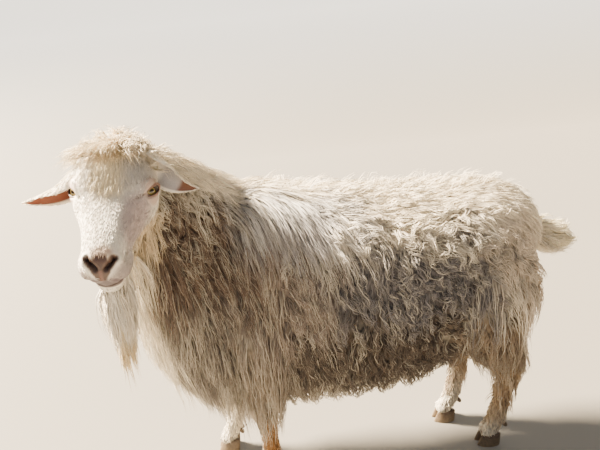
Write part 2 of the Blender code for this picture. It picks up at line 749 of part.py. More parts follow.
def head_core(lofts):
    """The head with its brows, cheeks, nostril wings, lips and chin, before anything is cut from it."""
    head = lofts["skull"].mesh("head")
    more = [lofts["jaw"].mesh("jaw")]
    axes = (ALONG, DORSAL, HEAD_LEFT)
    for side in (-1, 1):
        brow = on_head(EYE_ALONG, EYE_DEEP + 0.002, side * (EYE_OUT - 0.004))
        more.append(ball("brow", brow, (0.027, 0.023, 0.0215), axes, 12, 7))
        cheek = on_head(0.074, -0.080, side * 0.036)
        more.append(ball("cheek", cheek, (0.048, 0.038, 0.025), axes, 10, 5))
        wing = on_head(0.215, -0.024, side * 0.017)
        more.append(ball("nostril_wing", wing, (0.015, 0.012, 0.013), axes, 8, 5))
        lip = on_head(0.214, -0.056, side * 0.012)
        more.append(ball("upper_lip", lip, (0.021, 0.013, 0.017), axes, 8, 5))
    more.append(ball("chin", on_head(0.212, -0.087, 0.0), (0.022, 0.014, 0.021), axes, 10, 5))
    return boolean(head, more, "UNION")


def face_cutters():
    """What is cut from the head: the eyes' places, the gap between the lids, the nostrils and the mouth line."""
    axes = (ALONG, DORSAL, HEAD_LEFT)
    # The hollow behind the lids has few sides, so it is made that much wider than the eye
    room = (EYE_RADIUS + GAP) / math.cos(math.radians(18)) / math.cos(math.radians(15))
    spots = [on_head(EYE_ALONG, EYE_DEEP, side * EYE_OUT) for side in (-1, 1)]
    cutters = [ball("socket", spot, (room,) * 3, axes, 10, 6) for spot in spots]
    for side in (-1, 1):
        gap = on_head(EYE_ALONG, EYE_DEEP, side * (EYE_OUT + EYE_RADIUS + 0.0035))
        slant = math.radians(14.0)
        long = ALONG * math.cos(slant) - DORSAL * math.sin(slant)
        high = DORSAL * math.cos(slant) + ALONG * math.sin(slant)
        cutters.append(ball("lids", gap, LID_GAP, (long, high, HEAD_LEFT), 14, 8))
        way = unit(ALONG * 0.50 + DORSAL * 0.55 + HEAD_LEFT * side * 0.62)
        out = unit(ALONG * 0.80 - HEAD_LEFT * side * 0.60)
        deep = np.cross(way, out)
        nostril = on_head(0.2265, -0.026, side * 0.0175)
        cutters.append(ball("nostril", nostril, (0.0085, 0.0080, 0.0038), (way, out, deep), 8, 5))
        comma = on_head(0.2240, -0.018, side * 0.0245)
        cutters.append(ball("comma", comma, (0.0060, 0.0060, 0.0028), (out, way, deep), 8, 5))
    rows = []
    for share in np.linspace(-1.0, 1.0, 9):
        back = 0.232 - 0.056 * abs(share) ** 1.6
        x, y, z = on_head(back, -0.0675 + 0.004 * abs(share), 0.033 * share)
        rows.append((x, y, z, 0.0085, 0.0013, 0.0013))
    cutters.append(Loft(rows, ALONG, around=6, steps=1).mesh("mouth"))
    groove = [on_head(0.243, -0.036, 0.0), on_head(0.242, -0.052, 0.0), on_head(0.238, -0.064, 0.0)]
    rows = [(x, y, z, 0.0016, 0.0050, 0.0050) for x, y, z in groove]
    cutters.append(Loft(rows, HEAD_LEFT, around=6, steps=1).mesh("philtrum"))
    return cutters


def grow_coat(coat, lofts):
    """All the locks and clumps, node by node."""
    torso, neck, bib = lofts["torso"], lofts["neck"], lofts["bib"]
    # Long locks parted along the back
    long = dict(length=0.150, width=0.066, thick=0.020, depth=0.024)
    coat.pair("torso", torso, (0.22, 0.86), (58, 90), (4, 2), (0.9, 0, -0.45), **long)
    # Straight locks that fall from the withers over the shoulder
    fall = dict(length=0.180, width=0.066, thick=0.021, depth=0.027)
    coat.pair("torso", torso, (0.15, 0.40), (-5, 52), (3, 2), (0.30, 0, -1.0), **fall)
    # Matted clumps on the flank
    matted = dict(length=0.108, width=0.104, thick=0.030, depth=0.024, blunt=True)
    coat.pair("torso", torso, (0.42, 0.82), (-36, 48), (4, 3), (0.35, 0, -1.0), **matted)
    # The fringe under the chest and the belly
    fringe = dict(length=0.135, width=0.128, thick=0.024, depth=0.010, hang=0.5)
    coat.pair("torso", torso, (0.12, 0.78), (-92, -42), (4, 2), (0.15, 0, -1.0), **fringe)
    # The rump
    rump = dict(length=0.068, width=0.062, thick=0.018, depth=0.014)
    coat.pair("torso", torso, (0.86, 0.96), (-35, 70), (2, 3), (0.9, 0, -0.7), **rump)
    # The mane: along the crest, down the neck's sides and on the chest
    crest = dict(length=0.125, width=0.058, thick=0.020, depth=0.046)
    coat.pair("neck", neck, (0.16, 0.86), (55, 85), (4, 1), (0.7, 0.3, -0.8), **crest)
    side = dict(length=0.140, width=0.070, thick=0.021, depth=0.026)
    coat.pair("neck", neck, (0.14, 0.85), (-35, 45), (3, 2), (0.25, 0.1, -1.0), **side)
    chest = dict(length=0.140, width=0.060, thick=0.018, depth=0.024, hang=0.45)
    coat.pair("neck", bib, (0.02, 0.94), (-90, 20), (4, 3), (-0.1, -0.05, -1.0), **chest)
    # The head: fluff on the poll, the forelock between the eyes, and the long hair under the jaw
    skull, jaw = lofts["skull"], lofts["jaw"]
    poll = dict(length=0.084, width=0.050, thick=0.020, depth=0.044)
    coat.pair("head", skull, (0.12, 0.24), (62, 90), (1, 1), UP * 0.6 - BACK * 0.2 + LEFT * 0.6, **poll)
    for side in (1, -1):
        angles = (34, 60) if side > 0 else (146, 120)
        coat.patch("head", skull, (0.10, 0.28), angles, (1, 2), HEAD_LEFT * side + UP * 0.2, **poll)
    forelock = dict(length=0.098, width=0.042, thick=0.014, depth=0.015)
    coat.pair("head", skull, (0.22, 0.32), (60, 92), (1, 2), ALONG, **forelock)
    cheek = dict(length=0.090, width=0.050, thick=0.014, depth=0.012, hang=0.6)
    coat.pair("head", jaw, (0.10, 0.60), (-60, -20), (2, 1), DOWN - LEFT * 0.2, **cheek)
    # The beard and the tail
    beard = dict(length=0.112, width=0.046, thick=0.015, depth=0.013, hang=0.6)
    coat.patch("beard", lofts["beard"], (0.10, 0.98), (0, 360), (2, 4), DOWN, **beard)
    brush = dict(length=0.090, width=0.052, thick=0.018, depth=0.017)
    coat.patch("tail", lofts["tail"], (0.42, 0.90), (0, 360), (2, 3), BACK, **brush)
    # The long hair of the upper legs
    skirt = dict(length=0.150, width=0.076, thick=0.018, depth=0.026, hang=0.35)
    thigh = dict(length=0.120, width=0.092, thick=0.020, depth=0.020, hang=0.15)
    for side in ("left", "right"):
        around = (-150, 150) if side == "left" else (30, 330)
        coat.patch("foreleg_" + side, lofts["foreleg_" + side], (0.10, 0.36), around, (2, 3), DOWN, **skirt)
        rear = DOWN + BACK * 0.5
        coat.patch("hindleg_" + side, lofts["hindleg_" + side], (0.06, 0.34), around, (2, 2), rear, **thigh)


def main():
    """Builds the goat."""
    remove(list(bpy.data.objects))
    finishes = {
        "coat": material("goat_coat", (0.78, 0.70, 0.58), 0.85),
        "horn": material("hoof_horn", (0.19, 0.15, 0.11), 0.55),
        "eye": material("amber_eye", (0.42, 0.28, 0.08), 0.10),
    }
    neck_side = unit(np.cross(UP, np.array([-0.17, -0.21, 0.0])))
    lofts = {
        "torso": Loft(coated(TORSO, TORSO_COAT), around=18, steps=1, square=2.3, egg=0.06),
        "neck": Loft(coated(NECK, NECK_COAT), neck_side, around=14, steps=1, egg=0.05),
        "bib": Loft(coated(BIB, BIB_COAT), neck_side, around=12, steps=1),
        "skull": head_loft(SKULL, around=16, steps=1, egg=-0.06),
        "jaw": head_loft(JAW, around=12, steps=1),
        "tail": Loft(coated(TAIL, TAIL_COAT), around=8, steps=1),
        "beard": Loft(coated(BEARD, BEARD_COAT), BACK, around=8, steps=1),
    }
    for name, rows in LEGS.items():
        coat = [(depth, depth, depth) for depth in LEG_COAT[name]]
        lofts[name] = Loft(coated(rows, coat), around=10, steps=1, square=2.0)

    eyes = {}
    for word, side in (("left", 1), ("right", -1)):
        spot = on_head(EYE_ALONG, EYE_DEEP, side * EYE_OUT)
        axes = (ALONG, DORSAL, HEAD_LEFT)
        eyes["eye_" + word] = ball("eye_" + word, spot, (EYE_RADIUS,) * 3, axes, 12, 8)
    cores = {"head": head_core(lofts), "torso": lofts["torso"].mesh("torso"), "neck": lofts["neck"].mesh("neck")}
    boolean(cores["neck"], [lofts["bib"].mesh("bib")], "UNION")
    cores["ear_left"] = ear("ear_left", 1)
    cores["ear_right"] = ear("ear_right", -1)
    for name in ("beard", "tail", *LEGS):
        cores[name] = lofts[name].mesh(name)

    hooves, dewclaws = [], {}
    for name, rows in LEGS.items():
        x, y, _ = rows[-2][:3]
        fetlock = np.array(rows[-4][:3])
        for word, side in (("left", -1), ("right", 1)):
            hooves.append(claw(f"hoof_{name}_{word}", np.array([x - 0.002, y, 0.0]), side))
            hooves.append(dewclaw(f"dewclaw_{name}_{word}", fetlock, side))
            dewclaws.setdefault(name, []).append(hooves[-1])
        floor = block("floor", np.array([x, y, HOOF_HIGH + GAP]), DOWN, 0.3)
        boolean(cores[name], [floor], "DIFFERENCE")

    skin = Skin({name: obj for name, obj in cores.items() if not name.startswith("ear")})
    coat = Coat(skin)
    grow_coat(coat, lofts)
    boolean(cores["head"], face_cutters(), "DIFFERENCE")

    grown = {name: (copy_grown(obj), box_of(obj)) for name, obj in {**eyes, **cores}.items()}
    everything = list(eyes) + list(cores)
    for place, name in enumerate(cores):
        obj = cores[name]
        own = coat.locks.get(name, [])
        boolean(obj, [lock.mesh() for lock in own], "UNION")
        box = box_of(obj)
        cutters = [copy_grown(small) for small in dewclaws.get(name, [])]
        for other in everything:
            if other == name or other in eyes and name == "head":
                continue
            solid, other_box = grown[other]
            earlier = other in eyes or list(cores).index(other) < place
            if near(box, other_box) and (earlier or own):
                cutters.append(solid.copy())
                bpy.context.scene.collection.objects.link(cutters[-1])
            if earlier:
                for lock in coat.locks.get(other, []):
                    if near(box, (lock.low, lock.high)):
                        cutters.append(lock.mesh(1.5 * GAP))
        boolean(obj, cutters, "DIFFERENCE")
        largest_only(obj)
    remove([solid for solid, _ in grown.values()])

    for obj in [*cores.values(), *eyes.values(), *hooves]:
        kind = "horn" if obj in hooves else "eye" if obj.name in eyes else "coat"
        obj.data.materials.append(finishes[kind])
        obj.data.shade_smooth()
        obj.data.set_sharp_from_angle(angle=math.radians(40))
    place_nodes()


def place_nodes():
    """Moves the goat over the origin and gives each node an origin of its own, under one empty."""
    everything = [obj for obj in bpy.data.objects if obj.type == "MESH"]
    boxes = np.array([box_of(obj) for obj in everything])
    middle = (boxes[:, 0].min(axis=0) + boxes[:, 1].max(axis=0)) / 2
    holder = bpy.data.objects.new("goat", None)
    bpy.context.scene.collection.objects.link(holder)
    for obj, box in zip(everything, boxes):
        centre = (box[0] + box[1]) / 2
        obj.data.transform(Matrix.Translation(-centre))
        obj.location = (centre[0] - middle[0], centre[1] - middle[1], centre[2])
        obj.parent = holder


main()
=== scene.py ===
"""How the long-haired goat looks: skin, face, ears, eyes, hooves and the coat, hair by hair.

Lengths are in metres. Shapes are worked out in the design frame of the solids, where the goat's head is
at -X, its left side is -Y and the floor is z = 0, and one shift then puts them where the solids stand.
"""

import logging
import math
from dataclasses import dataclass, field
from enum import Enum

import bpy
import numpy as np
from mathutils import Matrix, Vector
from mathutils.bvhtree import BVHTree
from mathutils.kdtree import KDTree


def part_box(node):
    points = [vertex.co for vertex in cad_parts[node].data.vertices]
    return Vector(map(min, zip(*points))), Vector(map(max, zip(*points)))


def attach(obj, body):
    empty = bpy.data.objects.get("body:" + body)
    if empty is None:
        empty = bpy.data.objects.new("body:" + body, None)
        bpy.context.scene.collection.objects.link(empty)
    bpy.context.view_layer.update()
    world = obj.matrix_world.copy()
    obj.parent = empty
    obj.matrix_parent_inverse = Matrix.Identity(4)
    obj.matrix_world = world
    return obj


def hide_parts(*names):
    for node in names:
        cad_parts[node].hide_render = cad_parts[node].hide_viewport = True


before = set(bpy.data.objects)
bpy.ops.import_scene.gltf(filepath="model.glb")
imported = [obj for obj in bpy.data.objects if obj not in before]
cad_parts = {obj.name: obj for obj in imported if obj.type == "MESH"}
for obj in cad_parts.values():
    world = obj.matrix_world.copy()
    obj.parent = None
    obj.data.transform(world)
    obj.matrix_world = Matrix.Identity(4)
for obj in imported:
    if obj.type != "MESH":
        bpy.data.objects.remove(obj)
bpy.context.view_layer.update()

Array = np.ndarray
LOG = logging.getLogger("goat")

LEFT = np.array([0.0, -1.0, 0.0])
UP = np.array([0.0, 0.0, 1.0])
DOWN = -UP
BACK = np.array([1.0, 0.0, 0.0])

# Head: where its own frame starts, just above the poll, and how it is turned
HEAD_ORIGIN = np.array([-0.424, -0.2526, 0.9386])
HEAD_SCALE = 1.05
FACE_TILT = math.radians(52.0)
HEAD_ROLL = math.radians(7.0)
HEAD_YAW = math.radians(4.0)
EYE_RADIUS = 0.0148
EYE_ALONG, EYE_DEEP, EYE_OUT = 0.082, -0.030, 0.0525

# Rows of (x, y, z, half width, rise, drop) of the bare body, and the depth of the coat on each row at the
# side, on top and below
TORSO = (
    (-0.385, -0.030, 0.545, 0.030, 0.040, 0.045),
    (-0.365, -0.025, 0.550, 0.075, 0.085, 0.090),
    (-0.320, -0.012, 0.565, 0.115, 0.130, 0.140),
    (-0.260, 0.000, 0.575, 0.132, 0.180, 0.175),
    (-0.190, 0.000, 0.575, 0.142, 0.193, 0.190),
    (-0.100, 0.000, 0.570, 0.152, 0.180, 0.192),
    (0.000, 0.000, 0.565, 0.162, 0.171, 0.190),
    (0.100, 0.000, 0.562, 0.168, 0.166, 0.184),
    (0.200, 0.000, 0.570, 0.164, 0.155, 0.172),
    (0.290, 0.000, 0.580, 0.150, 0.142, 0.155),
    (0.360, 0.000, 0.583, 0.136, 0.128, 0.142),
    (0.406, 0.000, 0.576, 0.112, 0.106, 0.130),
    (0.434, 0.000, 0.568, 0.078, 0.074, 0.096),
    (0.447, 0.000, 0.562, 0.034, 0.034, 0.044),
)
TORSO_COAT = (
    (0.020, 0.030, 0.090),
    (0.030, 0.040, 0.120),
    (0.045, 0.050, 0.170),
    (0.050, 0.055, 0.215),
    (0.046, 0.050, 0.235),
    (0.040, 0.044, 0.235),
    (0.038, 0.038, 0.225),
    (0.038, 0.035, 0.205),
    (0.036, 0.030, 0.180),
    (0.034, 0.028, 0.140),
    (0.030, 0.028, 0.060),
    (0.028, 0.028, 0.035),
    (0.024, 0.024, 0.028),
    (0.020, 0.020, 0.022),
)
NECK = (
    (-0.424, -0.222, 0.868, 0.045, 0.045, 0.055),
    (-0.420, -0.205, 0.852, 0.056, 0.060, 0.066),
    (-0.405, -0.160, 0.812, 0.064, 0.072, 0.080),
    (-0.372, -0.098, 0.752, 0.074, 0.092, 0.100),
    (-0.325, -0.042, 0.685, 0.090, 0.120, 0.125),
    (-0.265, -0.010, 0.630, 0.100, 0.135, 0.140),
    (-0.220, 0.000, 0.605, 0.080, 0.110, 0.110),
)
NECK_COAT = (
    (0.008, 0.010, 0.010),
    (0.024, 0.040, 0.040),
    (0.040, 0.060, 0.075),
    (0.046, 0.068, 0.105),
    (0.050, 0.064, 0.125),
    (0.050, 0.050, 0.125),
    (0.040, 0.030, 0.100),
)
BIB = (
    (-0.424, -0.225, 0.770, 0.040, 0.030, 0.035),
    (-0.426, -0.190, 0.680, 0.050, 0.050, 0.040),
    (-0.418, -0.146, 0.566, 0.066, 0.072, 0.040),
    (-0.398, -0.100, 0.448, 0.078, 0.078, 0.040),
    (-0.366, -0.056, 0.352, 0.064, 0.052, 0.034),
    (-0.342, -0.030, 0.290, 0.036, 0.026, 0.020),
)
BIB_COAT = (
    (0.008, 0.014, 0.012),
    (0.020, 0.028, 0.022),
    (0.028, 0.042, 0.026),
    (0.034, 0.050, 0.030),
    (0.040, 0.055, 0.034),
    (0.034, 0.040, 0.028),
)
BEARD = (
    (-0.443, -0.338, 0.772, 0.012, 0.040, 0.016),
    (-0.446, -0.344, 0.728, 0.018, 0.044, 0.020),
    (-0.449, -0.350, 0.676, 0.016, 0.034, 0.016),
    (-0.452, -0.354, 0.628, 0.007, 0.012, 0.007),
)
TAIL = (
    (0.430, 0.000, 0.590, 0.020, 0.020, 0.024),
    (0.460, 0.000, 0.588, 0.024, 0.022, 0.026),
    (0.500, 0.000, 0.578, 0.022, 0.018, 0.026),
    (0.545, 0.000, 0.568, 0.016, 0.014, 0.020),
    (0.575, 0.000, 0.562, 0.006, 0.005, 0.006),
)
# Half width and reach ahead and behind of a leg's sections, from the body down to the coronet
FORELEG_SIZES = (
    (0.030, 0.050, 0.050),
    (0.044, 0.070, 0.072),
    (0.042, 0.055, 0.056),
    (0.032, 0.036, 0.038),
    (0.0265, 0.027, 0.029),
    (0.0285, 0.026, 0.031),
    (0.0265, 0.025, 0.027),
    (0.0195, 0.021, 0.019),
    (0.0180, 0.020, 0.0175),
    (0.0225, 0.025, 0.021),
    (0.0225, 0.024, 0.021),
    (0.0210, 0.021, 0.019),
    (0.0240, 0.026, 0.024),
    (0.0180, 0.020, 0.018),
)
HINDLEG_SIZES = (
    (0.040, 0.070, 0.070),
    (0.055, 0.105, 0.105),
    (0.052, 0.090, 0.085),
    (0.040, 0.060, 0.060),
    (0.0300, 0.038, 0.038),
    (0.0270, 0.034, 0.030),
    (0.0270, 0.036, 0.030),
    (0.0230, 0.026, 0.024),
    (0.0190, 0.021, 0.020),
    (0.0225, 0.025, 0.022),
    (0.0225, 0.024, 0.021),
    (0.0210, 0.021, 0.019),
    (0.0235, 0.026, 0.024),
    (0.0180, 0.020, 0.018),
)
# The middles of those sections
LEG_PATHS = {
    "foreleg_left": (
        (-0.232, -0.100, 0.560),
        (-0.230, -0.112, 0.500),
        (-0.227, -0.116, 0.430),
        (-0.231, -0.110, 0.360),
        (-0.241, -0.102, 0.290),
        (-0.247, -0.098, 0.252),
        (-0.247, -0.096, 0.222),
        (-0.246, -0.092, 0.185),
        (-0.247, -0.088, 0.130),
        (-0.249, -0.085, 0.092),
        (-0.254, -0.083, 0.070),
        (-0.263, -0.081, 0.052),
        (-0.270, -0.080, 0.036),
        (-0.272, -0.080, 0.026),
    ),
    "foreleg_right": (
        (-0.232, 0.100, 0.560),
        (-0.236, 0.112, 0.500),
        (-0.244, 0.116, 0.430),
        (-0.266, 0.108, 0.360),
        (-0.300, 0.095, 0.292),
        (-0.318, 0.089, 0.255),
        (-0.328, 0.085, 0.224),
        (-0.336, 0.080, 0.186),
        (-0.346, 0.074, 0.132),
        (-0.353, 0.070, 0.092),
        (-0.359, 0.068, 0.070),
        (-0.369, 0.066, 0.052),
        (-0.377, 0.065, 0.036),
        (-0.379, 0.065, 0.026),
    ),
    "hindleg_left": (
        (0.330, -0.085, 0.600),
        (0.318, -0.110, 0.530),
        (0.310, -0.118, 0.450),
        (0.330, -0.106, 0.380),
        (0.360, -0.092, 0.325),
        (0.384, -0.082, 0.285),
        (0.394, -0.077, 0.255),
        (0.390, -0.073, 0.215),
        (0.382, -0.068, 0.150),
        (0.372, -0.063, 0.098),
        (0.366, -0.061, 0.074),
        (0.355, -0.059, 0.054),
        (0.346, -0.058, 0.036),
        (0.344, -0.058, 0.026),
    ),
    "hindleg_right": (
        (0.320, 0.085, 0.600),
        (0.300, 0.110, 0.530),
        (0.270, 0.118, 0.450),
        (0.275, 0.106, 0.380),
        (0.300, 0.092, 0.325),
        (0.322, 0.084, 0.285),
        (0.331, 0.079, 0.255),
        (0.326, 0.075, 0.215),
        (0.312, 0.068, 0.150),
        (0.296, 0.062, 0.098),
        (0.288, 0.060, 0.074),
        (0.275, 0.058, 0.054),
        (0.265, 0.057, 0.036),
        (0.263, 0.057, 0.026),
    ),
}
# The depth of the coat on those sections
SHANK_COAT = (0.004, 0.002, 0.002, 0.002, 0.0, 0.0, 0.0)
FORELEG_COAT = (0.02, 0.035, 0.040, 0.042, 0.036, 0.026, 0.012, *SHANK_COAT)
LEG_COAT = {
    "foreleg_left": FORELEG_COAT,
    "foreleg_right": FORELEG_COAT,
    "hindleg_left": (0.02, 0.034, 0.042, 0.046, 0.040, 0.022, 0.008, *SHANK_COAT),
    "hindleg_right": (0.02, 0.030, 0.036, 0.038, 0.034, 0.022, 0.012, *SHANK_COAT),
}
# Rows of (along, top, bottom, half width) in the head's frame
SKULL = (
    (-0.016, -0.048, -0.078, 0.018),
    (-0.006, -0.030, -0.092, 0.036),
    (0.012, -0.006, -0.104, 0.054),
    (0.035, 0.008, -0.110, 0.0630),
    (0.062, 0.012, -0.108, 0.0665),
    (0.090, 0.004, -0.098, 0.0650),
    (0.118, -0.004, -0.086, 0.0560),
    (0.148, -0.007, -0.076, 0.0435),
    (0.178, -0.008, -0.069, 0.0365),
    (0.202, -0.009, -0.064, 0.0325),
    (0.220, -0.014, -0.060, 0.0300),
    (0.232, -0.024, -0.054, 0.0230),
    (0.238, -0.034, -0.047, 0.0110),
)
JAW = (
    (0.012, -0.085, -0.112, 0.022),
    (0.028, -0.070, -0.124, 0.040),
    (0.055, -0.066, -0.128, 0.0490),
    (0.090, -0.062, -0.120, 0.0470),
    (0.125, -0.058, -0.108, 0.0380),
    (0.160, -0.054, -0.097, 0.0300),
    (0.190, -0.052, -0.095, 0.0255),
    (0.210, -0.052, -0.096, 0.0235),
    (0.225, -0.056, -0.092, 0.0180),
    (0.231, -0.064, -0.078, 0.0080),
)

# How far a loft's pole stands out from its end ring, over the ring's half width
POLE_OUT = 0.35

# Camera: where it stands in the design frame, its lens, and how it is held
CAMERA_SPOT = np.array([-0.166, -1.107, 1.0])
CAMERA_WAY = np.array([0.0544, 0.9985, 0.0])
CAMERA_PITCH = math.radians(16.4)
CAMERA_ROLL = math.atan2(0.1074, 0.9942)
CAMERA_LENS = 28.2
SENSOR_WIDTH = 36.0


def unit(v: Array) -> Array:
    """The vector, or each row of vectors, at length one."""
    v = np.asarray(v, float)
    return v / np.maximum(np.linalg.norm(v, axis=-1, keepdims=True), 1e-12)


def head_axes() -> tuple[Array, Array, Array]:
    """The way the face points, its dorsal normal and the goat's left side, once it is rolled and turned.

    Returns:
        Three unit vectors.
    """
    along = np.array([0.0, -math.sin(FACE_TILT), -math.cos(FACE_TILT)])
    dorsal = np.array([0.0, -math.cos(FACE_TILT), math.sin(FACE_TILT)])
    c, s = math.cos(HEAD_ROLL), math.sin(HEAD_ROLL)
    roll = np.array([[c, 0.0, s], [0.0, 1.0, 0.0], [-s, 0.0, c]])
    c, s = math.cos(HEAD_YAW), math.sin(HEAD_YAW)
    turn = np.array([[c, -s, 0.0], [s, c, 0.0], [0.0, 0.0, 1.0]]) @ roll
    return turn @ along, turn @ dorsal, turn @ np.array([1.0, 0.0, 0.0])


ALONG, DORSAL, HEAD_LEFT = head_axes()
HEAD_AXES = np.array([ALONG, DORSAL, HEAD_LEFT])


def on_head(along: Array | float, dorsal: Array | float, left: Array | float) -> Array:
    """Points given in the head's own frame, in the design frame.

    Args:
        along: distance from behind the poll towards the nose.
        dorsal: distance out of the face.
        left: distance towards the goat's left.

    Returns:
        One point, or one row for each value given.
    """
    spot = np.stack(np.broadcast_arrays(along, dorsal, left), axis=-1)
    return HEAD_ORIGIN + HEAD_SCALE * (spot @ HEAD_AXES)


def in_head(points: Array) -> Array:
    """The (along, dorsal, left) values of points of the design frame."""
    return (points - HEAD_ORIGIN) @ HEAD_AXES.T / HEAD_SCALE


def find_shift() -> Array:
    """What is added to a point of the design frame to put it where the solids stand, from the left eye."""
    low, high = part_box("eye_left")
    return (np.array(low) + np.array(high)) / 2 - on_head(EYE_ALONG, EYE_DEEP, EYE_OUT)


SHIFT = find_shift()


def linear(colour: str) -> Array:
    """An sRGB hex colour as linear red, green and blue."""
    value = np.array([int(colour[i : i + 2], 16) for i in (1, 3, 5)]) / 255
    return np.where(value <= 0.04045, value / 12.92, ((value + 0.055) / 1.055) ** 2.4)


def smooth_step(x: Array) -> Array:
    """0 below 0, 1 above 1, and a smooth rise between."""
    x = np.clip(x, 0.0, 1.0)
    return x * x * (3 - 2 * x)


def ripple(points: Array, size: float, seed: int, waves: int = 9) -> Array:
    """A smooth random value from about -1 to 1: the mean of plane waves in seeded directions.

    Args:
        points: where it is wanted.
        size: the length of the waves.
        seed: the seed of their directions and phases.
        waves: how many there are.

    Returns:
        One value a point.
    """
    rng = np.random.default_rng(seed)
    ways = unit(rng.normal(size=(waves, 3))) * 2 * math.pi / (size * rng.uniform(0.7, 1.5, (waves, 1)))
    return np.sin(points @ ways.T + rng.uniform(0, 2 * math.pi, waves)).sum(axis=1) / waves * 2.2


def smooth_rows(rows: Array, steps: int) -> Array:
    """The rows with steps - 1 more between each two, on a Catmull-Rom curve through them.

    Args:
        rows: rows of numbers.
        steps: how many new rows stand for each.

    Returns:
        The rows, with the last one kept.
    """
    rows = np.asarray(rows, float)
    ends = np.vstack([2 * rows[0] - rows[1], rows, 2 * rows[-1] - rows[-2]])
    a, b, c, d = (ends[i : i + len(rows) - 1, None] for i in range(4))
    t = (np.arange(steps) / steps)[None, :, None]
    bend = (c - a) * t + (2 * a - 5 * b + 4 * c - d) * t**2 + (3 * b - a - 3 * c + d) * t**3
    return np.vstack([(b + bend / 2).reshape(-1, rows.shape[1]), rows[-1:]])


def coated(rows: Array, coat: Array, share: tuple[float, float, float]) -> Array:
    """The rows of a loft with shares of the coat's depth put at their sides, on top and below.

    Args:
        rows: rows of (x, y, z, half width, rise, drop).
        coat: the coat's depth on each row at the side, on top and below.
        share: the share of that depth that is added at the side, on top and below.

    Returns:
        The wider rows, with the ends moved out.
    """
    rows = np.array(rows, float)
    coat = np.array(coat, float)
    rows[:, 3:6] += np.array(share) * coat
    rows[0, :3] += unit(rows[0, :3] - rows[1, :3]) * coat[0, 0] * share[0]
    rows[-1, :3] += unit(rows[-1, :3] - rows[-2, :3]) * coat[-1, 0] * share[0]
    return rows


def pairs(rows: int, columns: int) -> tuple[Array, Array]:
    """Every row number with every column number."""
    i, j = np.meshgrid(np.arange(rows), np.arange(columns), indexing="ij")
    return i.ravel(), j.ravel()


def quads(a: Array, b: Array, c: Array, d: Array) -> Array:
    """Two triangles for each four corners, given in order round them."""
    return np.concatenate([np.stack([a, b, c], 1), np.stack([a, c, d], 1)])


def tube_faces(count: int, around: int) -> Array:
    """Triangles of a closed tube of rings, with a pole point after the last ring for each end.

    Args:
        count: how many rings.
        around: points on each ring.

    Returns:
        Rows of three point numbers.
    """
    i, j = pairs(count - 1, around)
    k = (j + 1) % around
    sides = quads(i * around + j, i * around + k, (i + 1) * around + k, (i + 1) * around + j)
    j = np.arange(around)
    k = (j + 1) % around
    first, last = count * around, (count - 1) * around
    start = np.stack([np.full(around, first), k, j], 1)
    end = np.stack([np.full(around, first + 1), last + j, last + k], 1)
    return np.concatenate([sides, start, end])


def grid_faces(rows: int, columns: int) -> Array:
    """Triangles of a grid that closes on itself both ways, like a ring doughnut.

    Args:
        rows: rows of the grid.
        columns: points in a row.

    Returns:
        Rows of three point numbers.
    """
    i, j = pairs(rows, columns)
    n, k = (i + 1) % rows, (j + 1) % columns
    return quads(i * columns + j, i * columns + k, n * columns + k, n * columns + j)


@dataclass
class Shape:
    """A closed surface as points and triangles."""

    points: Array
    faces: Array

    def joined(self, *others: "Shape") -> "Shape":
        """This surface and the others in one.

        Args:
            others: the surfaces that are added.

        Returns:
            One surface.
        """
        points, faces, start = [], [], 0
        for shape in (self, *others):
            points.append(shape.points)
            faces.append(shape.faces + start)
            start += len(shape.points)
        return Shape(np.concatenate(points), np.concatenate(faces))

    def corners(self) -> tuple[Array, Array, Array]:
        """The three corners of every triangle."""
        return tuple(self.points[self.faces[:, i]] for i in range(3))

    def sizes(self) -> Array:
        """Twice the area of every triangle."""
        a, b, c = self.corners()
        return np.linalg.norm(np.cross(b - a, c - a), axis=1)

    def outward(self) -> "Shape":
        """The same surface, turned inside out if its volume is negative.

        Returns:
            A surface whose faces point outward.
        """
        a, b, c = self.corners()
        if np.einsum("ij,ij->i", a, np.cross(b, c)).sum() < 0:
            return Shape(self.points, self.faces[:, ::-1])
        return self


def ellipsoid(middle: Array, radii: tuple[float, float, float], axes: Array, around: int = 28) -> Shape:
    """An ellipsoid: rings of a circle at evenly spaced latitudes, stretched along three axes.

    Args:
        middle: its middle.
        radii: its radius along each axis.
        axes: three unit vectors, the first through its poles.
        around: points on each ring.

    Returns:
        The closed surface.
    """
    count = around // 2
    tilt = math.pi * (np.arange(count) + 0.5) / count
    turn = 2 * math.pi * np.arange(around) / around
    tilts, turns = np.meshgrid(tilt, turn, indexing="ij")
    ball = np.stack([np.cos(tilts), np.sin(tilts) * np.cos(turns), np.sin(tilts) * np.sin(turns)], -1)
    ball = np.concatenate([ball.reshape(-1, 3), [[1.0, 0, 0], [-1.0, 0, 0]]])
    return Shape(middle + (ball * radii) @ axes, tube_faces(count, around)).outward()


def placed(name: str, data: bpy.types.ID) -> bpy.types.Object:
    """A new object of the scene with the given mesh, lamp or camera.

    Args:
        name: its name.
        data: what it holds.

    Returns:
        The object.
    """
    obj = bpy.data.objects.new(name, data)
    bpy.context.scene.collection.objects.link(obj)
    return obj


def build_mesh(name: str, shape: Shape) -> bpy.types.Object:
    """Puts a shape of the design frame into a new object, where the solids stand.

    Args:
        name: its name.
        shape: its surface.

    Returns:
        The object, smooth all over.
    """
    mesh = bpy.data.meshes.new(name)
    mesh.vertices.add(len(shape.points))
    mesh.vertices.foreach_set("co", (shape.points + SHIFT).astype(np.float32).ravel())
    mesh.loops.add(shape.faces.size)
    mesh.loops.foreach_set("vertex_index", shape.faces.astype(np.int32).ravel())
    mesh.polygons.add(len(shape.faces))
    mesh.polygons.foreach_set("loop_start", np.arange(0, shape.faces.size, 3, dtype=np.int32))
    mesh.polygons.foreach_set("use_smooth", np.ones(len(shape.faces), bool))
    mesh.update(calc_edges=True)
    return placed(name, mesh)


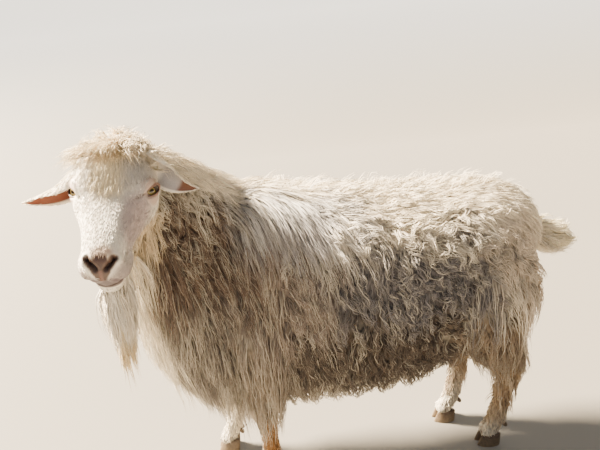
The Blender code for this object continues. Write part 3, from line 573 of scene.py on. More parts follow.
def read_shape(mesh: bpy.types.Mesh) -> tuple[Shape, Array]:
    """The shape of a mesh in the design frame, and the normal at each point.

    Args:
        mesh: the mesh that is read.

    Returns:
        Its triangles, and one normal for each point.
    """
    mesh.calc_loop_triangles()
    points = np.empty(len(mesh.vertices) * 3, np.float32)
    mesh.vertices.foreach_get("co", points)
    faces = np.empty(len(mesh.loop_triangles) * 3, np.int32)
    mesh.loop_triangles.foreach_get("vertices", faces)
    normals = np.empty(len(mesh.vertices) * 3, np.float32)
    mesh.vertex_normals.foreach_get("vector", normals)
    shape = Shape(points.reshape(-1, 3).astype(float) - SHIFT, faces.reshape(-1, 3))
    return shape, normals.reshape(-1, 3).astype(float)


def paint(obj: bpy.types.Object, **values: Array) -> None:
    """Stores values of each point: one number as a float, three as a vector, four as a colour.

    Args:
        obj: the piece.
        values: rows of values by the attribute's name.
    """
    for name, value in values.items():
        kind = {1: "FLOAT", 3: "FLOAT_VECTOR", 4: "FLOAT_COLOR"}[1 if value.ndim == 1 else value.shape[1]]
        data = obj.data.attributes.new(name, kind, "POINT").data
        key = {"FLOAT": "value", "FLOAT_VECTOR": "vector", "FLOAT_COLOR": "color"}[kind]
        data.foreach_set(key, value.astype(np.float32).ravel())


def as_colour(rgb: Array) -> Array:
    """Rows of red, green and blue with an alpha of one."""
    return np.concatenate([rgb, np.ones((len(rgb), 1))], axis=1)


def remeshed(shape: Shape, voxel: float, rounds: int) -> tuple[Shape, Array]:
    """One skin over shapes that overlap: voxels of the given size, then rounds of smoothing.

    Args:
        shape: closed surfaces that may pass through each other.
        voxel: the size of a voxel.
        rounds: how often each point moves half way to the middle of its neighbours.

    Returns:
        The skin and its normals.
    """
    obj = build_mesh("rough", shape)
    remesh = obj.modifiers.new("voxels", "REMESH")
    remesh.mode = "VOXEL"
    remesh.voxel_size = voxel
    smooth = obj.modifiers.new("smooth", "SMOOTH")
    smooth.factor = 0.5
    smooth.iterations = rounds
    graph = bpy.context.evaluated_depsgraph_get()
    mesh = bpy.data.meshes.new_from_object(obj.evaluated_get(graph))
    result = read_shape(mesh)
    bpy.data.objects.remove(obj)
    bpy.data.meshes.remove(mesh)
    return result


class Loft:
    """A body of rounded sections along a smooth path. Angle 0 is its left side and 90 degrees its top."""

    def __init__(
        self,
        rows: Array,
        side: Array = LEFT,
        up: Array | None = None,
        around: int = 48,
        steps: int = 6,
        square: float = 2.2,
        egg: float = 0.0,
    ) -> None:
        """Works out the rings: superellipses set across a Catmull-Rom curve.

        Args:
            rows: rows of (x, y, z, half width, rise, drop).
            side: the way of angle 0.
            up: the way of angle 90, or none where the rings stand across the path.
            around: points on a ring.
            steps: rings from row to row.
            square: 2 for ellipses, more for squarer rings.
            egg: how much wider the rings are below than above.
        """
        rows = smooth_rows(rows, steps)
        centres = rows[:, :3]
        along = unit(np.gradient(centres, axis=0))
        if up is None:
            sides = unit(side - along * (along @ side)[:, None])
            ups = unit(np.cross(sides, along))
        else:
            sides = np.repeat(np.array([side], float), len(rows), axis=0)
            ups = np.repeat(np.array([up], float), len(rows), axis=0)
        angles = 2 * math.pi * np.arange(around) / around
        c, s = np.cos(angles), np.sin(angles)
        wide = np.sign(c) * np.abs(c) ** (2 / square) * (1 - egg * s)
        high = np.sign(s) * np.abs(s) ** (2 / square)
        tall = np.where(high[None, :] > 0, rows[:, 4:5], rows[:, 5:6])
        self.centres = centres
        self.rings = (
            centres[:, None, :]
            + sides[:, None, :] * (rows[:, 3:4] * wide)[:, :, None]
            + ups[:, None, :] * (tall * high)[:, :, None]
        )
        before = centres[0] - along[0] * rows[0, 3] * POLE_OUT
        ends = (before, centres[-1] + along[-1] * rows[-1, 3] * POLE_OUT)
        points = np.concatenate([self.rings.reshape(-1, 3), ends])
        self.shape = Shape(points, tube_faces(*self.rings.shape[:2])).outward()

    def cells(self) -> tuple[Array, Array, Array]:
        """The area of each cell between two rings, and the share and angle of its middle.

        Returns:
            The areas, the shares and the angles in degrees.
        """
        count, around, _ = self.rings.shape
        ahead = self.rings[1:] - self.rings[:-1]
        round_it = np.roll(self.rings, -1, axis=1)[:-1] - self.rings[:-1]
        area = np.linalg.norm(np.cross(ahead, round_it), axis=2)
        share = (np.arange(count - 1) + 0.5) / (count - 1)
        angle = (np.arange(around) + 0.5) / around * 360
        return area, share, angle

    def spots(self, share: Array, angle: Array) -> tuple[Array, Array]:
        """The points and outward normals at shares of the way along and angles round the loft.

        Args:
            share: from 0 at the first row to 1 at the last.
            angle: degrees, 0 at the left side and 90 on top.

        Returns:
            The points and their normals.
        """
        count, around, _ = self.rings.shape

        def point(i: Array, j: Array) -> Array:
            """The surface between four points of the rings, by bilinear weights.

            Args:
                i: ring numbers with fractions.
                j: places round a ring.

            Returns:
                One point for each pair.
            """
            i = np.clip(i, 0.0, count - 1.000001)
            j = j % around
            low_i, low_j = i.astype(int), j.astype(int)
            next_j = (low_j + 1) % around
            f, g = (i - low_i)[:, None], (j - low_j)[:, None]
            near = self.rings[low_i, low_j] * (1 - g) + self.rings[low_i, next_j] * g
            far = self.rings[low_i + 1, low_j] * (1 - g) + self.rings[low_i + 1, next_j] * g
            return near * (1 - f) + far * f

        i, j = share * (count - 1), angle / 360 * around
        here = point(i, j)
        normal = unit(np.cross(point(i + 0.5, j) - point(i - 0.5, j), point(i, j + 0.5) - point(i, j - 0.5)))
        middle = self.centres[np.clip(np.round(i).astype(int), 0, count - 1)]
        turned = np.sign(np.einsum("ij,ij->i", normal, here - middle))[:, None]
        return here, normal * np.where(turned == 0, 1.0, turned)


def head_loft(rows: Array, square: float = 2.3, egg: float = 0.0) -> Loft:
    """A loft in the head's own frame, from rows of (along, top, bottom, half width).

    Args:
        rows: the rows.
        square: 2 for ellipses, more for squarer rings.
        egg: how much wider the rings are below than above.

    Returns:
        The loft.
    """
    rows = np.array(rows, float)
    places = on_head(rows[:, 0], (rows[:, 1] + rows[:, 2]) / 2, 0.0)
    high = HEAD_SCALE * (rows[:, 1:2] - rows[:, 2:3]) / 2
    rows = np.hstack([places, HEAD_SCALE * rows[:, 3:4], high, high])
    return Loft(rows, HEAD_LEFT, DORSAL, 56, 8, square, egg)


# Colours of the coat and skin, and of painted shade and glow


class Tint(Enum):
    """Named colours of the goat, and of painted shade and glow on it, as sRGB hex values."""

    CREAM = "#F7ECD6"
    PALE = "#F5EEE0"
    STRAW = "#F4E6C6"
    FALL = "#DEDAD6"
    FLANK = "#868282"
    # Darker brown low on the body
    LOW_BROWN = "#625549"
    NECK = "#705D4F"
    BROWN = "#725E50"
    SHOULDER = "#9B8C80"
    CHEST = "#867B71"
    SKIRT = "#9D8E7D"
    RUMP = "#D8C9B6"
    PEACH = "#DDC8B0"
    THIGH = "#95836F"
    TAN = "#AC7B42"
    HIND = "#B79C7C"
    WARM = "#E3CBA4"
    NOSE = "#4B332D"
    PINK = "#9A6C62"
    LIP = "#55444D"
    # Painted shade on the sides of the muzzle
    MUZZLE_SHADE = "#A99C9A"
    BRIDGE = "#C9AC96"
    LID = "#9A6E60"
    # Own dark of the tear lines and lid rims, and painted shade in the nostrils and between the lips
    DARK = "#2A1B17"
    TAIL = "#FFF4D6"
    EAR_TIP = "#5E3A2C"
    BEARD = "#ECD4A6"
    # Painted shade on the left side of the face
    FACE_SHADE = "#C6B6B3"
    # Painted shade on the side of the withers
    WITHERS_SHADE = "#B3ADAB"
    # Painted shade on the left side of the forehead
    FOREHEAD_SHADE = "#C2BEBE"
    # The bare inner skin's own colour, partly painted glow of light shining through the ear
    EAR = "#6B3016"
    # Painted shade in the hollow of the left ear
    EAR_HOLLOW_SHADE = "#8F8C90"
    # Painted shade deep in the ear's hollow near the root
    EAR_ROOT_SHADE = "#430B05"


@dataclass(frozen=True)
class Patch:
    """A patch of colour with a soft, ragged edge: 1 in the middle of an ellipsoid and 0 at its surface."""

    tint: Tint
    middle: tuple[float, float, float]
    radii: tuple[float, float, float]
    strength: float = 1.0
    ragged: float = 0.30
    both: bool = True
    ragged_size: float = 0.07
    edge: float = 0.55

    def weight(self, points: Array, side: int, seed: int) -> Array:
        """How much of the patch's colour each point takes.

        Args:
            points: where it is wanted.
            side: which of the three numbers is the way to a side, for a patch on both.
            seed: the seed of its ragged edge.

        Returns:
            A weight from 0 to 1 for each point.
        """
        spots = points.copy()
        if self.both:
            spots[:, side] = np.abs(spots[:, side]) * (1 if self.middle[side] > 0 else -1)
        apart = np.linalg.norm((spots - self.middle) / self.radii, axis=1)
        rough = self.ragged * ripple(points, self.ragged_size, seed)
        return self.strength * smooth_step((1.0 - apart + rough) / self.edge)


BODY_PATCHES = (
    Patch(Tint.FALL, (-0.180, -0.130, 0.740), (0.240, 0.120, 0.110), 0.9),
    Patch(Tint.FLANK, (0.060, -0.200, 0.540), (0.400, 0.130, 0.195)),
    # Painted shade: grey on the side of the withers
    Patch(Tint.WITHERS_SHADE, (-0.150, -0.135, 0.715), (0.120, 0.085, 0.075), 0.9),
    # Darker brown over the lower flank and belly
    Patch(Tint.LOW_BROWN, (0.060, -0.150, 0.380), (0.400, 0.200, 0.150)),
    Patch(Tint.SHOULDER, (-0.185, -0.170, 0.570), (0.170, 0.120, 0.180)),
    Patch(Tint.RUMP, (0.370, -0.150, 0.600), (0.110, 0.130, 0.110), 0.9),
    Patch(Tint.PEACH, (0.420, -0.110, 0.470), (0.090, 0.120, 0.130), 0.9),
    Patch(Tint.THIGH, (0.300, -0.150, 0.400), (0.120, 0.100, 0.120)),
    Patch(Tint.THIGH, (0.350, -0.110, 0.320), (0.090, 0.090, 0.090), 0.9),
    # Darker brown low on the body behind the forelegs
    Patch(Tint.LOW_BROWN, (-0.130, -0.120, 0.400), (0.130, 0.120, 0.110)),
    Patch(Tint.BROWN, (-0.300, -0.170, 0.640), (0.130, 0.130, 0.160), 0.9),
    Patch(Tint.NECK, (-0.350, -0.200, 0.735), (0.120, 0.130, 0.130)),
    Patch(Tint.BROWN, (-0.380, -0.225, 0.655), (0.080, 0.100, 0.105)),
    Patch(Tint.CHEST, (-0.360, -0.150, 0.480), (0.140, 0.170, 0.170)),
    Patch(Tint.SKIRT, (-0.235, -0.120, 0.360), (0.110, 0.110, 0.170)),
    Patch(Tint.CREAM, (-0.470, -0.180, 0.500), (0.070, 0.110, 0.200), 1.0, 0.2, False),
    Patch(Tint.BEARD, (-0.440, -0.330, 0.700), (0.090, 0.075, 0.170), 1.0, 0.1, False),
    Patch(Tint.TAN, (-0.235, -0.105, 0.170), (0.070, 0.050, 0.130)),
    Patch(Tint.HIND, (0.380, -0.075, 0.200), (0.100, 0.080, 0.150)),
    Patch(Tint.HIND, (0.280, 0.085, 0.250), (0.110, 0.090, 0.180), 1.0, 0.3, False),
    Patch(Tint.TAIL, (0.540, 0.0, 0.575), (0.100, 0.090, 0.080)),
)
# In the head's frame; the third number is the way to the left
HEAD_PATCHES = (
    Patch(Tint.STRAW, (0.068, 0.012, -0.003), (0.075, 0.050, 0.036), 1.0, 0.1, False),
    Patch(Tint.WARM, (0.130, -0.095, 0.045), (0.105, 0.060, 0.045), 0.8, 0.2),
    Patch(Tint.BEARD, (0.005, -0.010, 0.0), (0.060, 0.060, 0.080), 0.5, 0.2, False),
    # Painted shade: grey-mauve over the left side of the face only
    Patch(Tint.FACE_SHADE, (0.140, -0.024, 0.046), (0.078, 0.044, 0.036), 1.0, 0.1, False),
    # Painted shade: grey over the left side of the forehead only
    Patch(Tint.FOREHEAD_SHADE, (0.066, -0.004, 0.040), (0.060, 0.040, 0.040), 0.6, 0.1, False),
    # Painted shade: grey on both sides of the muzzle
    Patch(Tint.MUZZLE_SHADE, (0.215, -0.050, 0.022), (0.040, 0.032, 0.026), 0.9, 0.1),
    Patch(Tint.BRIDGE, (0.214, -0.012, 0.0), (0.020, 0.014, 0.020), 0.8, 0.2, False),
)

# Where the head's own base colour lies in its frame, the width of that border, and how the brightness of
# the whole coat wavers: strength, size and seed
FACE_MIDDLE = (0.115, -0.050, 0.0)
FACE_RADII = (0.160, 0.100, 0.086)
FACE_EDGE = 0.16
WAVERS = ((0.06, 0.05, 5), (0.05, 0.018, 6))


def markings(points: Array) -> Array:
    """The colour of the coat at points of the design frame, the same for skin and hair, with patches of
    painted shade.

    The base is cream, each patch is laid over it by its weight, and the brightness wavers.

    Args:
        points: where it is wanted.

    Returns:
        Linear red, green and blue, one row a point.
    """
    colour = np.repeat(linear(Tint.CREAM.value)[None], len(points), axis=0)
    for i, patch in enumerate(BODY_PATCHES):
        colour = blend(colour, patch.tint, patch.weight(points, 1, 40 + i))
    head = in_head(points)
    on_it = np.linalg.norm((head - FACE_MIDDLE) / FACE_RADII, axis=1)
    on_it = smooth_step((1.0 - on_it) / FACE_EDGE)
    colour = colour * (1 - on_it[:, None]) + linear(Tint.PALE.value) * on_it[:, None]
    for i, patch in enumerate(HEAD_PATCHES):
        colour = blend(colour, patch.tint, patch.weight(head, 2, 60 + i) * on_it)
    light = 1.0
    for strength, size, seed in WAVERS:
        light = light + strength * ripple(points, size, seed)
    return colour * light[:, None]


def blend(colour: Array, tint: Tint, weight: Array) -> Array:
    """The colours with a tint laid over them by a weight from 0 to 1."""
    weight = np.clip(weight, 0, 1)[:, None]
    return colour * (1 - weight) + linear(tint.value) * weight


# Finishes


def add_node(
    tree: bpy.types.NodeTree,
    kind: str,
    links: dict[str | int, bpy.types.NodeSocket] | None = None,
    values: dict[str | int, object] | None = None,
    **settings: object,
) -> bpy.types.Node:
    """Adds a node with its settings, socket values and links.

    Args:
        tree: the material's nodes.
        kind: the node's type.
        links: what is linked to its sockets, by their names or numbers.
        values: the constant values of its sockets, by their names or numbers.
        settings: its own settings.

    Returns:
        The node.
    """
    node = tree.nodes.new(kind)
    for name, value in settings.items():
        setattr(node, name, value)
    for name, value in (values or {}).items():
        node.inputs[name].default_value = value
    for name, source in (links or {}).items():
        tree.links.new(source, node.inputs[name])
    return node


def new_material(name: str, **sockets: object) -> tuple[bpy.types.Material, bpy.types.Node]:
    """A material with its Principled shader, whose constant values are set on their own sockets.

    Args:
        name: its name.
        sockets: constant values by the socket's name, with _ for a blank.

    Returns:
        The material and its shader.
    """
    made = bpy.data.materials.new(name)
    made.use_nodes = True
    shader = made.node_tree.nodes["Principled BSDF"]
    for socket, value in sockets.items():
        shader.inputs[socket.replace("_", " ")].default_value = value
    return made, shader


def wire(
    made: bpy.types.Material, shader: bpy.types.Node, **sources: bpy.types.NodeSocket
) -> bpy.types.Material:
    """Links sources to the shader's sockets of the same names and gives the material back.

    Args:
        made: the material.
        shader: its shader.
        sources: what is linked, by the socket's name with _ for a blank.

    Returns:
        The material.
    """
    for socket, source in sources.items():
        made.node_tree.links.new(source, shader.inputs[socket.replace("_", " ")])
    return made


@dataclass(frozen=True)
class HairFinish:
    """Goat hair: matt, faintly shiny along each hair, with fine hairs drawn along every tuft."""

    name: str = "goat_hair"
    hair_mm: float = 0.45
    kink_mm: float = 16.0
    own_pattern: float = 60.0
    roughness: float = 0.62

    def make(self) -> bpy.types.Material:
        """Colour from the tuft's own tone, varied from hair to hair across it.

        Returns:
            The material.
        """
        made, shader = new_material(
            self.name, IOR=1.45, Roughness=self.roughness, Sheen_Weight=0.12, Sheen_Roughness=0.4
        )
        tree = made.node_tree
        tone = add_node(tree, "ShaderNodeAttribute", attribute_name="tone").outputs["Color"]
        strand = add_node(tree, "ShaderNodeAttribute", attribute_name="strand").outputs["Vector"]
        # A real hair is under 0.1 mm thick, so the pattern's hairs are drawn coarser, to show
        scale = {"Scale": (1000 / self.hair_mm, 1000 / self.kink_mm, self.own_pattern)}
        place = add_node(tree, "ShaderNodeMapping", {"Vector": strand}, scale).outputs["Vector"]
        hairs = add_node(tree, "ShaderNodeTexNoise", {"Vector": place}, {"Scale": 1.0, "Detail": 1.0})
        ends = {"From Min": 0.3, "From Max": 0.7, "To Min": 0.80, "To Max": 1.16}
        light = add_node(tree, "ShaderNodeMapRange", {"Value": hairs.outputs["Fac"]}, ends)
        links = {"Vector": tone, "Scale": light.outputs["Result"]}
        colour = add_node(tree, "ShaderNodeVectorMath", links, operation="SCALE").outputs["Vector"]
        return wire(made, shader, Base_Color=colour)


@dataclass(frozen=True)
class SkinFinish:
    """Skin under the coat, with a bump of short fur, and bare leathery skin on nose, lips, lids and ears."""

    name: str = "goat_skin"
    fur_mm: float = 1.1
    pebble_mm: float = 1.5
    lock_mm: float = 5.0

    def make(self) -> bpy.types.Material:
        """Colour from the tone; the bump and the gloss go from fur to bare skin by the bare attribute.

        Returns:
            The material.
        """
        made, shader = new_material(self.name, IOR=1.42, Subsurface_Weight=0.05, Subsurface_Scale=0.002)
        tree = made.node_tree
        tone = add_node(tree, "ShaderNodeAttribute", attribute_name="tone").outputs["Color"]
        bare = add_node(tree, "ShaderNodeAttribute", attribute_name="bare").outputs["Fac"]
        wool = add_node(tree, "ShaderNodeAttribute", attribute_name="wool").outputs["Fac"]
        place = {"Vector": add_node(tree, "ShaderNodeTexCoord").outputs["Object"]}
        fur = add_node(tree, "ShaderNodeTexNoise", place, {"Scale": 1000 / self.fur_mm, "Detail": 2.0})
        pebble = add_node(tree, "ShaderNodeTexVoronoi", place, {"Scale": 1000 / self.pebble_mm})
        links = {"Factor": bare, "A": fur.outputs["Fac"], "B": pebble.outputs["Distance"]}
        height = add_node(tree, "ShaderNodeMix", links).outputs["Result"]
        bump = add_node(tree, "ShaderNodeBump", {"Height": height}, {"Strength": 0.3, "Distance": 0.0005})
        # The undercoat's locks hang, so their noise is drawn out downwards
        locks = 1000 / self.lock_mm
        drawn = {"Scale": (locks, locks, locks / 5), "Rotation": (0.0, 0.25, 0.0)}
        hung = add_node(tree, "ShaderNodeMapping", place, drawn).outputs["Vector"]
        streaks = add_node(tree, "ShaderNodeTexNoise", {"Vector": hung}, {"Scale": 1.0, "Detail": 3.0})
        ends = {"From Min": 0.35, "From Max": 0.65, "To Min": 0.45, "To Max": 1.35}
        streaky = add_node(tree, "ShaderNodeMapRange", {"Value": streaks.outputs["Fac"]}, ends)
        links = {"Factor": wool, "B": streaky.outputs["Result"]}
        dark = add_node(tree, "ShaderNodeMix", links, {"A": 1.0}).outputs["Result"]
        # Painted shade: the fur is darker where its bump is low and lighter where it is high
        ends = {"From Min": 0.2, "From Max": 0.8, "To Min": 0.90, "To Max": 1.05}
        light = add_node(tree, "ShaderNodeMapRange", {"Value": height}, ends).outputs["Result"]
        links = {"Vector": tone, "Scale": light}
        furry = add_node(tree, "ShaderNodeVectorMath", links, operation="SCALE").outputs["Vector"]
        links = {"Vector": furry, "Scale": dark}
        colour = add_node(tree, "ShaderNodeVectorMath", links, operation="SCALE").outputs["Vector"]
        ends = {"To Min": 0.85, "To Max": 0.46}
        rough = add_node(tree, "ShaderNodeMapRange", {"Value": bare}, ends).outputs["Result"]
        return wire(made, shader, Base_Color=colour, Roughness=rough, Normal=bump.outputs["Normal"])


@dataclass(frozen=True)
class HornFinish:
    """Hoof horn: dark, worn dull, with growth rings round the wall and dried mud near the floor."""

    name: str = "hoof_horn"
    dark: str = "#3B3029"
    light: str = "#7B6852"
    mud: str = "#8E7A5C"
    ring_mm: float = 3.2
    streak_mm: float = 6.25
    mud_to: float = 0.030

    def make(self) -> bpy.types.Material:
        """Bands up the wall, streaks of noise, and mud that thins out with height.

        Returns:
            The material.
        """
        made, shader = new_material(self.name, IOR=1.5)
        tree = made.node_tree
        place = {"Vector": add_node(tree, "ShaderNodeTexCoord").outputs["Object"]}
        # A ring is 2 pi times ring_mm high: the real ones are too fine to show
        scale = {"Scale": 1000 / self.ring_mm / 20, "Distortion": 2.0, "Detail": 2.0, "Detail Scale": 3.0}
        bands = add_node(tree, "ShaderNodeTexWave", place, scale, bands_direction="Z").outputs["Fac"]
        scale = {"Scale": 1000 / self.streak_mm, "Detail": 4.0}
        streaks = add_node(tree, "ShaderNodeTexNoise", place, scale).outputs["Fac"]
        height = add_node(tree, "ShaderNodeSeparateXYZ", place).outputs["Z"]
        ends = {"From Max": self.mud_to, "To Min": 0.85, "To Max": 0.0}
        muddy = add_node(tree, "ShaderNodeMapRange", {"Value": height}, ends).outputs["Result"]
        part = add_node(tree, "ShaderNodeMath", {0: muddy, 1: streaks}, operation="MULTIPLY")
        shades = {6: (*linear(self.dark), 1), 7: (*linear(self.light), 1)}
        wall = add_node(tree, "ShaderNodeMix", {"Factor": streaks}, shades, data_type="RGBA")
        links = {"Factor": part.outputs["Value"], 6: wall.outputs[2]}
        shades = {7: (*linear(self.mud), 1)}
        dirty = add_node(tree, "ShaderNodeMix", links, shades, data_type="RGBA").outputs[2]
        ends = {"To Min": 0.38, "To Max": 0.72}
        rough = add_node(tree, "ShaderNodeMapRange", {"Value": streaks}, ends).outputs["Result"]
        bump = add_node(tree, "ShaderNodeBump", {"Height": bands}, {"Strength": 0.5, "Distance": 0.0005})
        return wire(made, shader, Base_Color=dirty, Roughness=rough, Normal=bump.outputs["Normal"])


@dataclass(frozen=True)
class EyeFinish:
    """A goat's eye: amber iris with fine rays, a level bar of a pupil, a dark rim, and a wet surface."""

    name: str = "wet_eye"
    white: str = "#6B5140"
    rim: str = "#2A1A10"
    iris: str = "#94823C"
    iris_dark: str = "#574A20"
    pupil: str = "#050403"
    iris_share: float = 0.66
    bar: tuple[float, float] = (0.36, 0.15)
    ray_scale: float = 22.0

    def make(self) -> bpy.types.Material:
        """Rings by the distance from the middle of the gaze attribute; the bar by its two parts.

        Returns:
            The material.
        """
        made, shader = new_material(
            self.name, IOR=1.376, Roughness=0.12, Coat_Weight=1.0, Coat_Roughness=0.03
        )
        tree = made.node_tree
        gaze = {"Vector": add_node(tree, "ShaderNodeAttribute", attribute_name="gaze").outputs["Vector"]}
        apart = add_node(tree, "ShaderNodeVectorMath", gaze, operation="LENGTH").outputs["Value"]
        ramp = add_node(tree, "ShaderNodeValToRGB", {"Fac": apart})
        stops = (
            (0.20, self.iris_dark),
            (0.40, self.iris),
            (self.iris_share - 0.06, self.iris_dark),
            (self.iris_share, self.rim),
            (self.iris_share + 0.08, self.white),
        )
        while len(ramp.color_ramp.elements) < len(stops):
            ramp.color_ramp.elements.new(0.5)
        for element, (position, colour) in zip(ramp.color_ramp.elements, stops):
            element.position = position
            element.color = (*linear(colour), 1)
        scale = {"Scale": self.ray_scale, "Detail": 3.0}
        rays = add_node(tree, "ShaderNodeTexNoise", gaze, scale).outputs["Fac"]
        ends = {"From Min": 0.3, "From Max": 0.7, "To Min": 0.7, "To Max": 1.2}
        light = add_node(tree, "ShaderNodeMapRange", {"Value": rays}, ends).outputs["Result"]
        links = {"Vector": ramp.outputs["Color"], "Scale": light}
        lit = add_node(tree, "ShaderNodeVectorMath", links, operation="SCALE").outputs["Vector"]
        size = {1: (*self.bar, 10.0)}
        inside = add_node(tree, "ShaderNodeVectorMath", gaze, size, operation="DIVIDE").outputs["Vector"]
        round_bar = add_node(tree, "ShaderNodeVectorMath", {"Vector": inside}, operation="LENGTH")
        ends = {"From Min": 0.92, "From Max": 1.08}
        edge = add_node(tree, "ShaderNodeMapRange", {"Value": round_bar.outputs["Value"]}, ends)
        links = {"Factor": edge.outputs["Result"], 7: lit}
        shades = {6: (*linear(self.pupil), 1)}
        colour = add_node(tree, "ShaderNodeMix", links, shades, data_type="RGBA").outputs[2]
        return wire(made, shader, Base_Color=colour)


@dataclass(frozen=True)
class FloorFinish:
    """A plain pale painted floor that bends up into a backdrop with a light of its own."""

    name: str = "studio_floor"
    colour: str = "#6C6861"
    glow: float = 16.0
    floor_glow: float = 0.45
    glow_to: float = 2.5

    def make(self) -> bpy.types.Material:
        """One matt colour; the backdrop's own light grows with its height.

        Returns:
            The material.
        """
        colour = (*linear(self.colour), 1)
        made, shader = new_material(self.name, Roughness=0.8, Base_Color=colour, Emission_Color=colour)
        tree = made.node_tree
        place = {"Vector": add_node(tree, "ShaderNodeTexCoord").outputs["Object"]}
        height = add_node(tree, "ShaderNodeSeparateXYZ", place).outputs["Z"]
        ends = {"From Max": self.glow_to, "To Min": self.floor_glow, "To Max": self.glow}
        light = add_node(tree, "ShaderNodeMapRange", {"Value": height}, ends).outputs["Result"]
        return wire(made, shader, Emission_Strength=light)


def dress(obj: bpy.types.Object, material: bpy.types.Material) -> None:
    """Gives a piece its material and slot, and lets it ride on the one body.

    Args:
        obj: the piece.
        material: its finish.
    """
    obj.data.materials.clear()
    obj.data.materials.append(material)
    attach(obj, "root")
    LOG.info("%s: %d triangles", obj.name, len(obj.data.polygons))


# The head


@dataclass(frozen=True)
class Knob:
    """A rounded swelling of the head: its middle in the head's frame and its radii, on one side or both."""

    middle: tuple[float, float, float]
    radii: tuple[float, float, float]
    both: bool = True

    def shapes(self) -> list[Shape]:
        """The swelling as one ellipsoid or two.

        Returns:
            The ellipsoids in the design frame.
        """
        sides = (1, -1) if self.both else (1,)
        along, dorsal, left = self.middle
        return [ellipsoid(on_head(along, dorsal, side * left), self.radii, HEAD_AXES) for side in sides]


def folded(spots: Array, both: bool) -> Array:
    """Spots of the head's frame, with those on the right laid on the left one's side where both are alike."""
    return np.stack([*spots.T[:2], np.abs(spots[:, 2])], axis=1) if both else spots


def apart_from(line: tuple[tuple[float, float, float], ...], spots: Array, both: bool = True) -> Array:
    """The distance of each spot of the head's frame from a line.

    Args:
        line: its points.
        spots: where it is wanted.
        both: true if the line is on both sides.

    Returns:
        One distance for each spot.
    """
    spots = folded(spots, both)
    best = np.full(len(spots), 1e9)
    for start, end in zip(line[:-1], line[1:]):
        a, b = np.array(start), np.array(end)
        t = np.clip((spots - a) @ (b - a) / ((b - a) @ (b - a)), 0, 1)[:, None]
        best = np.minimum(best, np.linalg.norm(spots - (a + t * (b - a)), axis=1))
    return best


@dataclass(frozen=True)
class Groove:
    """A furrow pressed into the head along a line of its frame; a negative depth raises a ridge."""

    line: tuple[tuple[float, float, float], ...]
    depth: float
    width: float
    both: bool = True

    def press(self, spots: Array) -> Array:
        """How deep each spot is pressed: the depth times a bell of the distance over the width."""
        return self.depth * np.exp(-((apart_from(self.line, spots, self.both) / self.width) ** 2))


def mouth_line() -> tuple[tuple[float, float, float], ...]:
    """The line between the lips, from its middle in front to its corner on the left.

    Returns:
        Points of the head's frame.
    """
    share = np.linspace(0, 1, 9)
    back = 0.234 - 0.052 * share**1.6
    return tuple(zip(back, -0.0725 + 0.0130 * share**2, 0.039 * share**0.9))


MOUTH = mouth_line()
# The slit of a nostril, from its inner low end to its wide outer end
NOSTRIL = ((0.2318, -0.0245, 0.0075), (0.2262, -0.0192, 0.0140), (0.2190, -0.0145, 0.0195))
# The dark tear line from an eye's inner corner
TEAR_LINE = (
    (0.0900, -0.0240, 0.0600),
    (0.0970, -0.0180, 0.0535),
    (0.1040, -0.0140, 0.0470),
    (0.1110, -0.0117, 0.0412),
)
# Places and the half width there: the nose's pad and the upper lip's bare front by their height on the
# face, the painted shade inside a nostril by its way out, and the tear line's by its way along the face
PAD_WIDTH = ((-0.050, -0.040, -0.030, -0.020, -0.013), (0.003, 0.006, 0.013, 0.016, 0.008))
LIP_WIDTH = ((-0.080, -0.070, -0.050, -0.034), (0.020, 0.028, 0.019, 0.009))
NOSTRIL_WIDTH = ((0.0075, 0.012, 0.017, 0.021), (0.0032, 0.0040, 0.0050, 0.0056))
TEAR_WIDTH = ((0.090, 0.111), (0.0052, 0.0026))
# An eye's opening faces left, out of the face and ahead by these, and its lids run ahead, out and inward
EYE_FACES = (0.80, 0.52, 0.30)
LIDS_RUN = (0.81, 0.31, 0.50)
# Just ahead of a root and out from it is where its hair's tip lies
TIP_AHEAD = (0.0100, 0.0, 0.0025)


def tear_mark(spots: Array) -> Array:
    """How dark the tear line is at spots of the head's frame: it narrows away from the eye."""
    wide = np.interp(spots[:, 0], *TEAR_WIDTH)
    return smooth_step((wide - apart_from(TEAR_LINE, spots)) / 0.0020)


